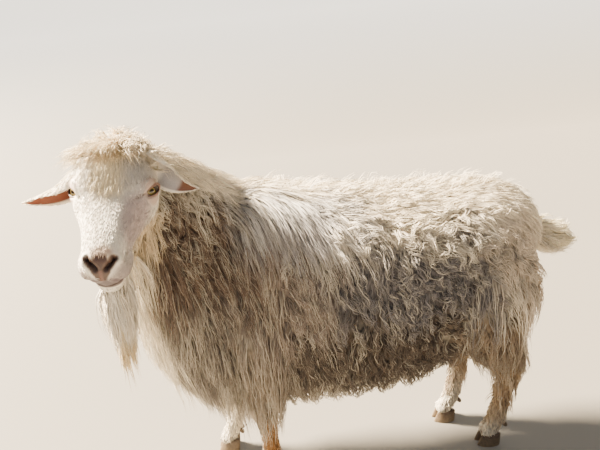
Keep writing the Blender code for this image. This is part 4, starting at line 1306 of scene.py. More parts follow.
@dataclass
class Head:
    """The head's skin: lofts and swellings made one, then grooves, nostrils and eye sockets pressed in."""

    voxel: float = 0.0019
    rounds: int = 5
    socket: float = 0.0030
    socket_reach: float = 0.030
    lid_reach: tuple[float, float] = (0.0225, 0.0108)
    pad_from: float = 0.2125
    lip_from: float = 0.2100
    rim_width: float = 0.0078
    lip_width: float = 0.0085
    mouth_width: float = 0.0036
    cleft_width: float = 0.0040
    lid_width: float = 0.0300
    knobs: tuple[Knob, ...] = (
        Knob((EYE_ALONG, EYE_DEEP + 0.002, EYE_OUT - 0.004), (0.027, 0.023, 0.0215)),
        Knob((0.074, -0.080, 0.036), (0.048, 0.038, 0.025)),
        Knob((0.118, -0.046, 0.036), (0.045, 0.011, 0.010)),
        Knob((0.215, -0.024, 0.017), (0.015, 0.012, 0.013)),
        Knob((0.214, -0.056, 0.012), (0.021, 0.013, 0.017)),
        Knob((0.204, -0.046, 0.024), (0.030, 0.022, 0.015)),
        Knob((0.212, -0.087, 0.0), (0.022, 0.014, 0.021), False),
        Knob((0.036, -0.036, 0.046), (0.020, 0.020, 0.014)),
        Knob((0.010, -0.018, 0.018), (0.028, 0.018, 0.020)),
    )
    grooves: tuple[Groove, ...] = (
        Groove(MOUTH, 0.0042, 0.0020),
        Groove(((0.240, -0.032, 0.0), (0.242, -0.050, 0.0), (0.238, -0.066, 0.0)), 0.0026, 0.0016, False),
        Groove(NOSTRIL, 0.0095, 0.0032),
        Groove(((0.2250, -0.0180, 0.0155), (0.2175, -0.0140, 0.0200)), 0.0060, 0.0038),
        Groove(((0.2290, -0.0290, 0.0150), (0.2215, -0.0215, 0.0225)), -0.0014, 0.0040),
        Groove(((0.2250, -0.0140, 0.0080), (0.2190, -0.0110, 0.0130)), -0.0014, 0.0040),
        Groove(TEAR_LINE, 0.0024, 0.0024),
        Groove(((0.0960, -0.0010, 0.0430), (0.0740, -0.0090, 0.0580)), -0.0030, 0.0070),
        Groove(((0.130, -0.026, 0.044), (0.200, -0.030, 0.034)), 0.0016, 0.0080),
        Groove(((0.095, -0.062, 0.050), (0.104, -0.100, 0.040)), 0.0018, 0.0090),
        Groove(((0.060, -0.012, 0.048), (0.100, -0.012, 0.048)), -0.0016, 0.0060),
        Groove(((0.236, -0.072, 0.0), (0.226, -0.070, 0.020)), -0.0008, 0.0030),
    )
    shape: Shape | None = None
    normals: Array | None = None
    unpressed: Array | None = None

    def build(self) -> None:
        """Makes the skin and presses its features in."""
        parts = [head_loft(JAW).shape]
        for knob in self.knobs:
            parts += knob.shapes()
        rough = head_loft(SKULL, egg=-0.06).shape.joined(*parts)
        shape, normals = remeshed(rough, self.voxel, self.rounds)
        spots = in_head(shape.points)
        press = sum(groove.press(spots) for groove in self.grooves)
        points = shape.points - normals * press[:, None]
        for side in (1, -1):
            points = self.sink_socket(points, side)
        self.shape, self.normals, self.unpressed = Shape(points, shape.faces), normals, shape.points

    def sink_socket(self, points: Array, side: int) -> Array:
        """Draws the skin inside the lids to a sphere a little smaller than the eye.

        Args:
            points: the skin's points.
            side: 1 for the left eye, -1 for the right.

        Returns:
            The points, moved near the eye.
        """
        middle = on_head(EYE_ALONG, EYE_DEEP, side * EYE_OUT)
        away = points - middle
        apart = np.linalg.norm(away, axis=1)
        out, long, high = lid_axes(side)
        wide = np.hypot(away @ long / self.lid_reach[0], away @ high / self.lid_reach[1])
        near = smooth_step((1.15 - wide) / 0.35) * (away @ out > 0) * (apart < self.socket_reach)
        sunk = middle + away / apart[:, None] * (EYE_RADIUS - self.socket)
        return points * (1 - near[:, None]) + sunk * near[:, None]

    def bare(self, points: Array) -> tuple[Array, Array]:
        """How bare the skin of nose, lips and eye corners is, and its colour.

        The nose's pad is widest between the nostrils and narrows to the cleft of the upper lip. What a
        distance is divided by is the width over which that border fades, and what a mask is multiplied by
        is its colour's share.

        Args:
            points: places on the skin before its features are pressed in.

        Returns:
            For each point a value from 0 to 1, and linear red, green and blue.
        """
        spots = in_head(points)
        mirror = folded(spots, True)
        along, dorsal, left = mirror.T
        slit, lips = apart_from(NOSTRIL, spots), apart_from(MOUTH, spots)
        pad = smooth_step((np.interp(dorsal, *PAD_WIDTH) - left) / 0.003 + 0.5)
        pad = pad * smooth_step((along - self.pad_from) / 0.005) * smooth_step((dorsal + 0.050) / 0.006)
        rim = smooth_step((self.rim_width - slit) / 0.003)
        front = smooth_step((np.interp(dorsal, *LIP_WIDTH) - left) / 0.008 + 0.5)
        front = front * smooth_step((along - self.lip_from) / 0.006)
        front = front * smooth_step((-0.032 - dorsal) / 0.010) * smooth_step((dorsal + 0.079) / 0.004)
        lip = smooth_step((self.lip_width - lips) / 0.004)
        lid = np.linalg.norm(mirror - (EYE_ALONG, EYE_DEEP, EYE_OUT), axis=1)
        lid = smooth_step((self.lid_width - lid) / 0.009)
        tear = tear_mark(spots)
        cleft = smooth_step((self.cleft_width - left) / 0.003) * (dorsal < -0.026)
        # Painted shade: near black inside each nostril and along the crease between the lips
        dark = smooth_step((np.interp(left, *NOSTRIL_WIDTH) - slit) / 0.0030)
        mouth = smooth_step((self.mouth_width - lips) / 0.0020)
        colour = blend(markings(points), Tint.LID, lid * 0.55)
        colour = blend(colour, Tint.DARK, tear * 0.85)
        colour = blend(colour, Tint.LIP, np.maximum(lip * 0.9, front * 0.88))
        colour = blend(colour, Tint.NOSE, np.maximum(pad, rim) * 0.94)
        colour = blend(colour, Tint.PINK, pad * cleft * 0.35)
        # Painted shade in the nostrils and between the lips
        colour = blend(colour, Tint.DARK, np.maximum(dark, mouth * 0.85) * 0.95)
        return np.max([pad, rim, lip, front, lid, tear], axis=0), colour


def lid_axes(side: int) -> tuple[Array, Array, Array]:
    """The way an eye's opening faces, the way to its inner corner, and the way up across its lids.

    Args:
        side: 1 for the left eye, -1 for the right.

    Returns:
        Three unit vectors.
    """
    left, dorsal, along = EYE_FACES
    out = unit(left * side * HEAD_LEFT + dorsal * DORSAL + along * ALONG)
    along, dorsal, inward = LIDS_RUN
    long = along * ALONG + dorsal * DORSAL - inward * side * HEAD_LEFT
    long = unit(long - out * (long @ out))
    return out, long, np.cross(out, long) * side


@dataclass
class Lids:
    """The two lids round one eye, as one ring with a thick rim that fades into the brow and cheek."""

    side: int
    gap: tuple[float, float] = (0.0190, 0.0056)
    fade: float = 0.0078
    point: float = 1.25
    steep: float = 0.95
    flat: float = 0.78
    lowest: float = 0.45
    around: int = 64

    def build(self) -> tuple[Shape, Array]:
        """A ring swept round the almond gap; its section goes out from the rim and back under the skin.

        Returns:
            The shape, and how near each point is to the dark rim, from 0 to 1.
        """
        out, long, high = lid_axes(self.side)
        middle = on_head(EYE_ALONG, EYE_DEEP, self.side * EYE_OUT)
        turn = 2 * math.pi * np.arange(self.around) / self.around
        almond = np.sign(np.sin(turn)) * np.abs(np.sin(turn)) ** self.point
        # Steps of the section: how far out of the gap, how far over the eye, and how dark
        section = (
            (0.0000, 0.0002, 1.0),
            (-0.0003, 0.0012, 1.0),
            (0.0003, 0.0022, 1.0),
            (0.0020, 0.0029, 0.5),
            (0.0042, 0.0026, 0.0),
            (0.0062, 0.0019, 0.0),
            (self.fade, 0.0004, 0.0),
            (self.fade, -0.0025, 0.0),
            (0.0030, -0.0030, 1.0),
        )
        rings = []
        for wide, rise, _ in section:
            x = (self.gap[0] + wide) * np.cos(turn)
            y = (self.gap[1] + wide * self.steep) * almond
            reach = EYE_RADIUS + rise
            z = np.sqrt(np.maximum(reach**2 - (self.flat * x) ** 2 - y**2, (self.lowest * reach) ** 2))
            rings.append(middle + x[:, None] * long + y[:, None] * high + z[:, None] * out)
        rim = np.repeat([dark for _, _, dark in section], self.around)
        rim = rim * np.tile(0.75 + 0.25 * np.sin(turn), len(section))
        return Shape(np.concatenate(rings), grid_faces(len(section), self.around)).outward(), rim


@dataclass
class Eye:
    """An eyeball with a low cornea."""

    side: int
    cornea: float = 0.0009
    clear: float = 0.0002
    bell: float = 0.55
    looks: tuple[float, float, float] = (0.50, 0.62, 0.60)
    around: int = 64

    def build(self, finish: bpy.types.Material) -> None:
        """A sphere whose radius swells by a bell round the gaze, with the gaze stored for its pattern.

        Args:
            finish: the eye's material.
        """
        out, long, high = lid_axes(self.side)
        ahead, dorsal, left = self.looks
        gaze = unit(ahead * ALONG + dorsal * DORSAL + left * self.side * HEAD_LEFT)
        long = unit(long - gaze * (long @ gaze))
        axes = np.array([gaze, long, np.cross(gaze, long)])
        middle = on_head(EYE_ALONG, EYE_DEEP, self.side * EYE_OUT)
        ball = ellipsoid(np.zeros(3), (1.0, 1.0, 1.0), np.eye(3), self.around)
        swell = EYE_RADIUS - self.clear - self.cornea
        swell += self.cornea * np.exp(-((np.arccos(np.clip(ball.points[:, 0], -1, 1)) / self.bell) ** 2))
        name = "eyeball_left" if self.side > 0 else "eyeball_right"
        shape = Shape(middle + (ball.points * swell[:, None]) @ axes, ball.faces).outward()
        obj = build_mesh(name, shape)
        flat = np.stack([ball.points[:, 1], ball.points[:, 2], 0 * ball.points[:, 0]], axis=1)
        behind = ball.points[:, 0] < 0
        flat[behind] = unit(flat[behind] + 1e-9)
        paint(obj, gaze=flat)
        dress(obj, finish)
        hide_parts("eye_left" if self.side > 0 else "eye_right")


@dataclass
class Ear:
    """A leaf-shaped cup, held out sideways and drooping.

    Its reach is how far the tip is out, ahead and down from the root, its sag is how far its middle hangs
    under the straight line, and the two ways are where its hollow faces at the root and at the tip. Its
    hollow is bare, or painted grey shade up to the share bare_from and bare past it.
    """

    side: int
    reach: tuple[float, float, float]
    root_way: tuple[float, float, float]
    tip_way: tuple[float, float, float]
    root: tuple[float, float, float]
    half_width: float
    sag: float
    bare_from: float = 0.0
    wall: float = 0.0036
    spread: tuple[float, float] = (128.0, 88.0)
    flutter: float = 0.0012
    arch: float = 0.008
    turns_at: tuple[float, float] = (0.45, 0.45)
    leaf: tuple[float, float, float] = (0.22, 0.77, 0.95)
    thinner: tuple[float, float] = (0.45, 0.75)
    hollow_edge: tuple[float, float] = (0.93, 0.15)
    hollow_end: float = 0.06
    steps: int = 40
    around: int = 30

    def build(self) -> tuple[Shape, Array, Array]:
        """Arcs of a circle across a straight line, whose spread closes towards the tip, given a thin wall.

        Returns:
            The closed shape, how bare each point is, and the middle line's share at each point.
        """
        base = on_head(self.root[0], self.root[1], self.side * self.root[2])
        out, ahead, down = self.reach
        tip = base + np.array([self.side * out, -ahead, -down])
        way = unit(tip - base)
        length = np.linalg.norm(tip - base)
        t = np.linspace(0, 1, self.steps)[:, None]
        turned = np.clip((t - self.turns_at[0]) / self.turns_at[1], 0, 1)
        open_way = np.array(self.root_way) * (1 - turned) + np.array(self.tip_way) * turned
        open_way = unit(open_way - (open_way @ way)[:, None] * way)
        across = np.cross(way, open_way)[:, None]
        open_way = open_way[:, None]
        v = np.linspace(-1, 1, self.around)[None, :]
        start, run, blunt = self.leaf
        half = self.half_width * np.sin(math.pi * (start + run * t)) ** blunt + 0.0005
        spread = np.radians(self.spread[0] - self.spread[1] * t**0.8)
        radius = half / np.maximum(np.sin(np.minimum(spread, math.pi / 2)), 0.35)
        wave = self.flutter * np.sin(9 * t + 2.2 * v) * np.abs(v) ** 2
        lift = self.arch * np.sin(math.pi * t * 0.9)
        centre = base + way * length * t[..., None] + open_way * lift[..., None]
        centre = centre + DOWN * (self.sag * 4 * t * (1 - t))[..., None]
        a = spread * v
        layers = []
        at_tip, at_rim = self.thinner
        for sign in (1, -1):
            thick = self.wall / 2 * (1 - at_tip * t) * (1 - at_rim * np.abs(v) ** 6) * sign
            r = radius + thick + wave
            bend = -open_way * (r * np.cos(a) - radius)[..., None] + across * (r * np.sin(a))[..., None]
            layers.append(centre + bend)
        ring = np.concatenate([layers[0], layers[1][:, ::-1]], axis=1)
        points = ring.reshape(-1, 3)
        ends = (ring[0].mean(axis=0), ring[-1].mean(axis=0))
        shape = Shape(np.concatenate([points, ends]), tube_faces(self.steps, 2 * self.around)).outward()
        inner = np.zeros((self.steps, 2 * self.around))
        rim, soft = self.hollow_edge
        hollow = smooth_step((rim - np.abs(v)) / soft) * smooth_step((1.0 - t) / self.hollow_end)
        inner[:, self.around :] = hollow
        share = np.repeat(t, 2 * self.around, axis=1)
        return shape, np.append(inner.ravel(), (0, 0)), np.append(share.ravel(), (0, 1))

    def colour(self, tone: Array, inner: Array, share: Array) -> Array:
        """The tone with the hollow's skin laid over it: painted grey shade then brown, or dark red painted
        shade then orange brown that is partly painted glow.

        Args:
            tone: linear red, green and blue of each point.
            inner: how far inside the hollow it is, from 0 to 1.
            share: its share of the way to the tip.

        Returns:
            The new tones.
        """
        bare = inner * smooth_step((share - self.bare_from) / 0.10 + 0.5)
        if self.bare_from > 0:
            # Painted shade: grey in the hollow, darker deeper inside, short of the bare tip
            tone = blend(tone, Tint.EAR_HOLLOW_SHADE, inner**2 * smooth_step((share - 0.22) / 0.15) * 0.9)
            return blend(tone, Tint.EAR_TIP, bare)
        # The orange brown is partly the skin's own colour and partly painted glow of light shining through
        # the ear
        tone = blend(tone, Tint.EAR, bare)
        # Painted shade: darker red deep in the hollow towards the root
        return blend(tone, Tint.EAR_ROOT_SHADE, inner * smooth_step((0.55 - share) / 0.45))


LEFT_EAR = Ear(
    side=1,
    reach=(0.078, 0.016, 0.066),
    root_way=(0.0, -0.88, -0.36),
    tip_way=(0.0, -0.75, -0.66),
    root=(0.0160, -0.0125, 0.054),
    half_width=0.0225,
    sag=0.008,
    bare_from=0.66,
)
RIGHT_EAR = Ear(
    side=-1,
    reach=(0.101, 0.036, 0.058),
    root_way=(0.0, -0.46, -0.89),
    tip_way=(0.0, -0.62, -0.78),
    root=(0.0195, -0.0170, 0.055),
    half_width=0.0270,
    sag=0.010,
)


# Hooves


@dataclass
class Hoof:
    """One foot's two claws and two dewclaws."""

    leg: str
    high: float = 0.036
    long: float = 0.060
    wide: float = 0.0225
    cleft: float = 0.0040
    splay: float = math.radians(5.0)
    lean: float = 0.010
    tuck: float = 0.002
    toe_ahead: float = 0.002
    pointed: float = 0.45
    dew_way: tuple[float, float, float] = (0.55, 0.10, -0.83)
    dew_spot: tuple[float, float, float] = (0.023, 0.0105, -0.012)
    dew_radii: tuple[float, float, float] = (0.0100, 0.0062, 0.0057)
    around: int = 44

    def claw(self, side: int) -> Shape:
        """Rings of a pointed oval: widest low down, round at the sole's edge, leaning back to the coronet.

        Args:
            side: -1 for the left claw, 1 for the right.

        Returns:
            The closed surface.
        """
        path = LEG_PATHS[self.leg]
        toe = np.array([path[-2][0] - self.toe_ahead, path[-2][1], 0.0])
        turn = side * self.splay
        ahead = np.array([-math.cos(turn), -math.sin(turn), 0.0])
        out = np.array([0.0, side, 0.0])
        height = np.array([0.0, 0.0, 0.0008, 0.003, 0.009, 0.018, 0.027, 0.034, self.high])
        size = np.array([0.90, 0.965, 0.99, 1.0, 0.975, 0.92, 0.86, 0.80, 0.74])
        back = np.array([0.0, 0.0, 0.02, 0.06, 0.22, 0.45, 0.72, 0.95, 1.0])
        a = 2 * math.pi * np.arange(self.around) / self.around
        narrow = 1.0 - self.pointed * np.maximum(0.0, np.cos(a)) ** 2
        long = self.long / 2 * size[:, None] * np.cos(a)
        wide = self.wide / 2 * np.sqrt(size)[:, None] * np.sin(a) * narrow
        middle = toe + out * (self.cleft + self.wide) / 2
        rings = (
            middle
            + ahead * (long - back[:, None] * self.lean)[..., None]
            + out * (wide - self.tuck * back[:, None])[..., None]
        )
        rings[..., 2] = height[:, None]
        ends = (rings[0].mean(axis=0), rings[-1].mean(axis=0))
        points = np.concatenate([rings.reshape(-1, 3), ends])
        return Shape(points, tube_faces(len(height), self.around)).outward()

    def dewclaw(self, side: int) -> Shape:
        """A small horny cone: an ellipsoid drawn out along one axis.

        Args:
            side: -1 for the left one, 1 for the right.

        Returns:
            The closed surface.
        """
        spot = np.array(LEG_PATHS[self.leg][-4]) + np.array(self.dew_spot) * (1, side, 1)
        way = unit(np.array(self.dew_way) * (1, side, 1))
        across = unit(np.cross(way, [0.0, side, 0.2]))
        axes = np.array([way, across, np.cross(way, across)])
        return ellipsoid(spot, self.dew_radii, axes, 20)

    def build(self, finish: bpy.types.Material) -> None:
        """Makes the four pieces of horn in place of their solids.

        Args:
            finish: the material of the horn.
        """
        for word, side in (("left", -1), ("right", 1)):
            for kind, shape in (("hoof", self.claw(side)), ("dewclaw", self.dewclaw(side))):
                obj = build_mesh(f"horn_{kind}_{self.leg}_{word}", shape)
                dress(obj, finish)
                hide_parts(f"{kind}_{self.leg}_{word}")


# The skin of the body


@dataclass
class Body:
    """The one skin under the coat: torso, neck, mane core, tail, beard core and legs, with the head."""

    undercoat: tuple[float, float, float] = (0.40, 0.38, 0.66)
    bib_undercoat: tuple[float, float, float] = (0.50, 0.50, 0.50)
    leg_undercoat: float = 0.45
    under_shade: float = 0.60
    neck_way: tuple[float, float, float] = (-0.17, -0.21, 0.0)
    beard_core: tuple[float, ...] = (1, 1, 1, 0.8, 0.6, 0.8)
    lid_share: float = 0.85
    rim_share: float = 0.9
    voxel: float = 0.0076
    rounds: int = 4
    lofts: dict[str, Loft] = field(default_factory=dict)
    ears: list[tuple[Shape, Array, Array]] = field(default_factory=list)
    tree: BVHTree | None = None

    def make_lofts(self) -> None:
        """Works out the lofts, with the close undercoat round the bare body."""
        neck_side = unit(np.cross(UP, np.array(self.neck_way)))
        share = self.undercoat
        self.lofts = {
            "torso": Loft(coated(TORSO, TORSO_COAT, share), square=2.3, egg=0.06, around=64),
            "neck": Loft(coated(NECK, NECK_COAT, share), neck_side, egg=0.05),
            "bib": Loft(coated(BIB, BIB_COAT, self.bib_undercoat), neck_side),
            "tail": Loft(np.array(TAIL), around=32),
            "beard": Loft(np.array(BEARD) * self.beard_core, BACK, around=24),
        }
        for name, path in LEG_PATHS.items():
            sizes = np.array(FORELEG_SIZES if name.startswith("fore") else HINDLEG_SIZES)
            sizes = sizes + self.leg_undercoat * np.array(LEG_COAT[name])[:, None]
            self.lofts[name] = Loft(np.hstack([path, sizes]), around=36, square=2.0)

    def build(self, head: Head, ears: list[Ear], finish: bpy.types.Material) -> None:
        """Joins the body's remeshed skin, the head's, the lids and the ears into one piece.

        Args:
            head: the head, built.
            ears: the ears.
            finish: the skin's material.
        """
        self.make_lofts()
        shapes = [loft.shape for loft in self.lofts.values()]
        body, _ = remeshed(shapes[0].joined(*shapes[1:]), self.voxel, self.rounds)
        lids = [Lids(side).build() for side in (1, -1)]
        built = [ear.build() for ear in ears]
        parts = [body, head.shape, *(lid for lid, _ in lids), *(shape for shape, _, _ in built)]
        whole = parts[0].joined(*parts[1:])
        self.tree = BVHTree.FromPolygons(whole.points.tolist(), whole.faces.tolist())
        self.ears = built
        bare, colour = head.bare(head.unpressed)
        bares = [np.zeros(len(body.points)), bare]
        colours = [markings(body.points) * self.under_shade, colour]
        for lid, rim in lids:
            bares.append(np.ones(len(lid.points)))
            tone = blend(markings(lid.points), Tint.LID, np.full(len(lid.points), self.lid_share))
            tear = tear_mark(in_head(lid.points))
            colours.append(blend(tone, Tint.DARK, np.maximum(rim, tear) * self.rim_share))
        for (shape, inner, share), ear in zip(built, ears):
            tone = blend(markings(shape.points), Tint.PALE, np.ones(len(share)))
            bares.append(inner)
            colours.append(ear.colour(tone, inner, share))
        obj = build_mesh("goat_skin", whole)
        wool = (np.arange(len(whole.points)) < len(body.points)).astype(float)
        paint(obj, tone=as_colour(np.concatenate(colours)), bare=np.concatenate(bares), wool=wool)
        dress(obj, finish)
        nodes = ["torso", "neck", "head", "beard", "tail", "ear_left", "ear_right", *LEG_PATHS]
        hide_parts(*nodes)

    def nearest(self, points: Array) -> tuple[Array, Array, Array]:
        """For each point, the nearest place on the skin, the normal there and the distance.

        Args:
            points: where it is wanted.

        Returns:
            The places, the normals and the distances.
        """
        places, normals, apart = np.empty_like(points), np.empty_like(points), np.empty(len(points))
        for i, point in enumerate(points):
            place, normal, _, far = self.tree.find_nearest(point)
            places[i], normals[i], apart[i] = place, normal, far
        return places, normals, apart


# The coat


# The size of a tuft's patch on the skin's unwrap, and its three corners over its width, across and up
BAKE_PATCH = 0.003
CORNERS_ACROSS = (0.0, 0.5, -0.5)
CORNERS_UP = (0.42, -0.08, -0.08)
# How far tufts of one kind differ, as shares of its own sizes: the least and the greatest
LENGTH_RANGE = (0.75, 1.15)
HEIGHT_RANGE = (0.35, 1.0)
HANG_RANGE = (0.8, 1.15)
WAVE_RANGE = (0.8, 1.2)
CURL_RANGE = (0.6, 1.2)
WIDTH_RANGE = (0.65, 1.25)
# How far along its lock a tuft ends, and how much cream a fleck takes
END_RANGE = (0.62, 1.0)
FLECK_RANGE = (0.2, 0.6)


@dataclass(frozen=True)
class Growth:
    """How one kind of hair grows; its sizes are those of a tuft of hairs that lie together.

    Fields:
        length, width: of a tuft.
        height: how high over the skin its outer half lies.
        lift: degrees it stands off the skin at its root.
        hang: 0 where it lies along the skin, 1 where it hangs straight down.
        curl, wave: the radius and the length of its waves.
        locks: how many tufts make a lock, and gather, how near their tips meet, from 0 to 1.
        rings: sections along a tuft.
        spread: degrees by which the locks' ways differ.
        stray: how far the tips wander from their lock.
        root_shade: how bright the roots are against the tips.
        swirl: degrees by which whole groups of locks turn together.
        flecks: the share of tufts that are lighter, mixed with cream.
        roll: how far tufts are turned about their own length, in radians.
        vary: how much the brightness differs from lock to lock.
    """

    length: float
    width: float
    height: float
    lift: float = 25.0
    hang: float = 0.0
    curl: float = 0.0
    wave: float = 0.03
    locks: int = 10
    gather: float = 0.6
    rings: int = 4
    spread: float = 14.0
    stray: float = 0.004
    # Painted shade: tufts darken towards their roots, deep in the coat, with some real dirt there
    root_shade: float = 0.55
    swirl: float = 0.0
    flecks: float = 0.0
    roll: float = 0.45
    vary: float = 0.09


@dataclass(frozen=True)
class Field:
    """Where one kind of hair grows on a loft, how much of it there is and which way it lies."""

    loft: str
    shares: tuple[float, float]
    angles: tuple[float, float]
    number: int
    way: tuple[float, float, float]
    growth: Growth
    both: bool = True
    last_way: tuple[float, float, float] | None = None


@dataclass
class Tufts:
    """Many tufts with the same number of sections: their paths, the way that is up, and their looks."""

    paths: Array
    ups: Array
    widths: Array
    tones: Array
    places: Array
    growth: Growth

    def cut(self, start: int, stop: int) -> "Tufts":
        """Some of the tufts."""
        values = (self.paths, self.ups, self.widths, self.tones, self.places)
        return Tufts(*(value[start:stop] for value in values), self.growth)

    def mesh(self, rng: np.random.Generator) -> tuple[Shape, Array, Array, Array]:
        """Closed tapered prisms of three sides.

        The half width at a share t of the way is w (0.6 + 0.4 min(1, 4t)) (1 - t^2.4), and the last ring is
        one point.

        Args:
            rng: the random draw for the roll and the pattern of each tuft.

        Returns:
            The shape, each point's colour, its place across and along its tuft, and its place on the unwrap.
        """
        count, rings, _ = self.paths.shape
        along = unit(np.gradient(self.paths, axis=1))
        across = unit(np.cross(along, self.ups))
        ups = np.cross(across, along)
        roll = rng.normal(0, self.growth.roll, (count, 1, 1))
        c, s = np.cos(roll), np.sin(roll)
        across, ups = across * c + ups * s, ups * c - across * s
        t = np.arange(rings) / (rings - 1)
        taper = (0.6 + 0.4 * np.minimum(1, 4 * t)) * (1 - t**2.4)
        wide = (self.widths[:, None] * taper)[:, :-1, None, None] * np.array(CORNERS_ACROSS)[:, None]
        high = (self.widths[:, None] * taper)[:, :-1, None, None] * np.array(CORNERS_UP)[:, None]
        body = self.paths[:, :-1, None] + across[:, :-1, None] * wide + ups[:, :-1, None] * high
        sides = len(CORNERS_UP)
        each = (rings - 1) * sides + 1
        points = np.concatenate([body.reshape(count, -1, 3), self.paths[:, -1:]], axis=1)
        i, j = pairs(rings - 2, sides)
        k = (j + 1) % sides
        walls = quads(i * sides + j, i * sides + k, (i + 1) * sides + k, (i + 1) * sides + j)
        last = (rings - 2) * sides
        tip = np.array([[last + m, last + (m + 1) % sides, each - 1] for m in range(sides)])
        faces = np.concatenate([walls, tip, [[2, 1, 0]]])
        faces = (faces[None] + np.arange(count)[:, None, None] * each).reshape(-1, 3)
        share = np.append(np.repeat(t[:-1], sides), 1.0)
        side = np.append(np.tile(CORNERS_ACROSS, rings - 1), 0.0)
        # Painted shade: darker towards the root, deep in the coat, with some real dirt there
        dark = self.growth.root_shade
        shade = dark + (1.0 - dark) * np.minimum(1, share * 1.5) ** 0.8
        colour = self.tones[:, None, :] * shade[None, :, None]
        length = np.linalg.norm(np.diff(self.paths, axis=1), axis=2).sum(axis=1)
        own = np.repeat(rng.uniform(0, 1, (count, 1)), each, axis=1)
        strand = np.stack([self.widths[:, None] * side[None], length[:, None] * share[None], own], axis=2)
        patch = np.stack([side * BAKE_PATCH, (share - 0.5) * BAKE_PATCH], axis=1)
        unwrap = self.places[:, None, :] + patch[None]
        shape = Shape(points.reshape(-1, 3), faces)
        return shape, colour.reshape(-1, 3), strand.reshape(-1, 3), unwrap.reshape(-1, 2)


@dataclass
class Coat:
    """Grows hair on the skin and makes the pieces of the coat."""

    body: Body
    head: Head
    finish: bpy.types.Material
    seed: int = 7
    limit: int = 190_000
    density: float = 0.895
    nose_clear: float = 0.0105
    lip_clear: float = 0.0070
    tip_clear: float = 0.0085
    root_reach: float = 0.008
    share_edge: float = 0.05
    angle_edge: float = 14.0
    all_round: float = 330.0
    head_from: float = -0.02
    bare_limit: float = 0.5
    hollow_limit: float = 0.35
    ear_tufts: int = 1500
    ear_light: float = 0.97
    total: int = 0

    def __post_init__(self) -> None:
        """Seeds the random draw."""
        self.rng = np.random.default_rng(self.seed)

    def scatter(self, loft: Loft, where: Field, mirrored: bool) -> tuple[Array, Array]:
        """Draws shares and angles over a field, evenly over its area, with soft borders.

        Args:
            loft: the loft it is on.
            where: the field.
            mirrored: true for the goat's right side.

        Returns:
            The shares and the angles.
        """
        area, share, angle = loft.cells()
        low, high = where.angles
        if mirrored:
            angle = (180 - angle) % 360
        middle = (low + high) / 2
        angle_in = middle + (angle - middle + 180) % 360 - 180
        in_share = self.soft(share, *where.shares, self.share_edge)
        in_angle = np.ones_like(angle_in)
        if high - low < self.all_round:
            in_angle = self.soft(angle_in, low, high, self.angle_edge)
        weight = (area * in_share[:, None] * in_angle[None, :]).ravel()
        number = max(4, int(where.number * self.density))
        chosen = self.rng.choice(weight.size, number, p=weight / weight.sum())
        i, j = np.unravel_index(chosen, area.shape)
        share = (i + self.rng.uniform(0, 1, number)) / area.shape[0]
        return share, (j + self.rng.uniform(0, 1, number)) / area.shape[1] * 360

    @staticmethod
    def soft(x: Array, low: float, high: float, edge: float) -> Array:
        """1 between low and high and 0 outside, with a soft edge."""
        return smooth_step((x - low) / edge + 0.5) * smooth_step((high - x) / edge + 0.5)

    def guides(self, roots: Array, normals: Array, ways: Array, grow: Growth) -> tuple[Array, Array]:
        """The paths of the locks' middles, stepped along the skin.

        Each step turns down by the hang, and its height over the skin is drawn to the growth's height.

        Args:
            roots: where the locks start.
            normals: the skin's normals there.
            ways: the way each lies.
            grow: how it grows.

        Returns:
            The paths and the normals under them.
        """
        count = len(roots)
        steps = grow.rings
        spot = roots - normals * min(0.004, 0.4 * grow.height)
        up = normals
        way = unit(ways - up * np.einsum("ij,ij->i", ways, up)[:, None])
        swirl = grow.swirl * ripple(roots, 0.11, 3)[:, None]
        turn = np.radians(self.rng.normal(0, grow.spread, (count, 1)) + swirl)
        way = way * np.cos(turn) + np.cross(up, way) * np.sin(turn)
        length = grow.length * self.rng.uniform(*LENGTH_RANGE, (count, 1))
        height = grow.height * self.rng.uniform(*HEIGHT_RANGE, count)
        hang = np.clip(grow.hang * self.rng.uniform(*HANG_RANGE, (count, 1)), 0, 1)
        paths, ups = [spot], [up]
        for k in range(1, steps + 1):
            t = k / steps
            lift = math.radians(grow.lift) * (1 - t)
            step = way * math.cos(lift) + up * math.sin(lift)
            step = unit(step * (1 - hang * t**0.5) + DOWN * hang * t**0.5)
            spot = spot + step * length / steps
            place, under, _ = self.body.nearest(spot)
            over = np.einsum("ij,ij->i", spot - place, under)
            wish = height * min(1.0, 1.7 * t) * (1 - 0.25 * t * t)
            h = (hang * t**0.5)[:, 0]
            new = (1 - h) * wish + h * np.maximum(over, wish * 0.4)
            sideways = spot - place - under * over[:, None]
            spot = place + sideways * h[:, None] + under * new[:, None]
            up = under
            way = unit(step - up * np.einsum("ij,ij->i", step, up)[:, None] * (1 - h[:, None]))
            paths.append(spot)
            ups.append(up)
        return np.stack(paths, axis=1), np.stack(ups, axis=1)

    def grow(self, where: Field, mirrored: bool = False) -> Tufts:
        """All the tufts of a field: each follows its lock's guide, and they gather towards its tip.

        Args:
            where: the field.
            mirrored: true for the goat's right side.

        Returns:
            The tufts.
        """
        loft = self.body.lofts[where.loft]
        share, angle = self.scatter(loft, where, mirrored)
        roots, normals = loft.spots(share, angle)
        places, _, apart = self.body.nearest(roots)
        keep = apart < self.root_reach
        roots, normals, share, angle = places[keep], normals[keep], share[keep], angle[keep]
        low, high = where.shares
        part = np.clip((share - low) / (high - low), 0, 1)[:, None]
        ways = unit(np.array(where.way) * (1 - part) + np.array(where.last_way or where.way) * part)
        unwrap = self.on_unwrap(share, angle / 360)
        return self.follow(roots, normals, ways, unwrap, where.growth)

    @staticmethod
    def on_unwrap(across: Array, up: Array) -> Array:
        """Places on the unwrap from two shares, clear of its borders."""
        return 0.02 + 0.96 * np.stack([across, up], axis=1)

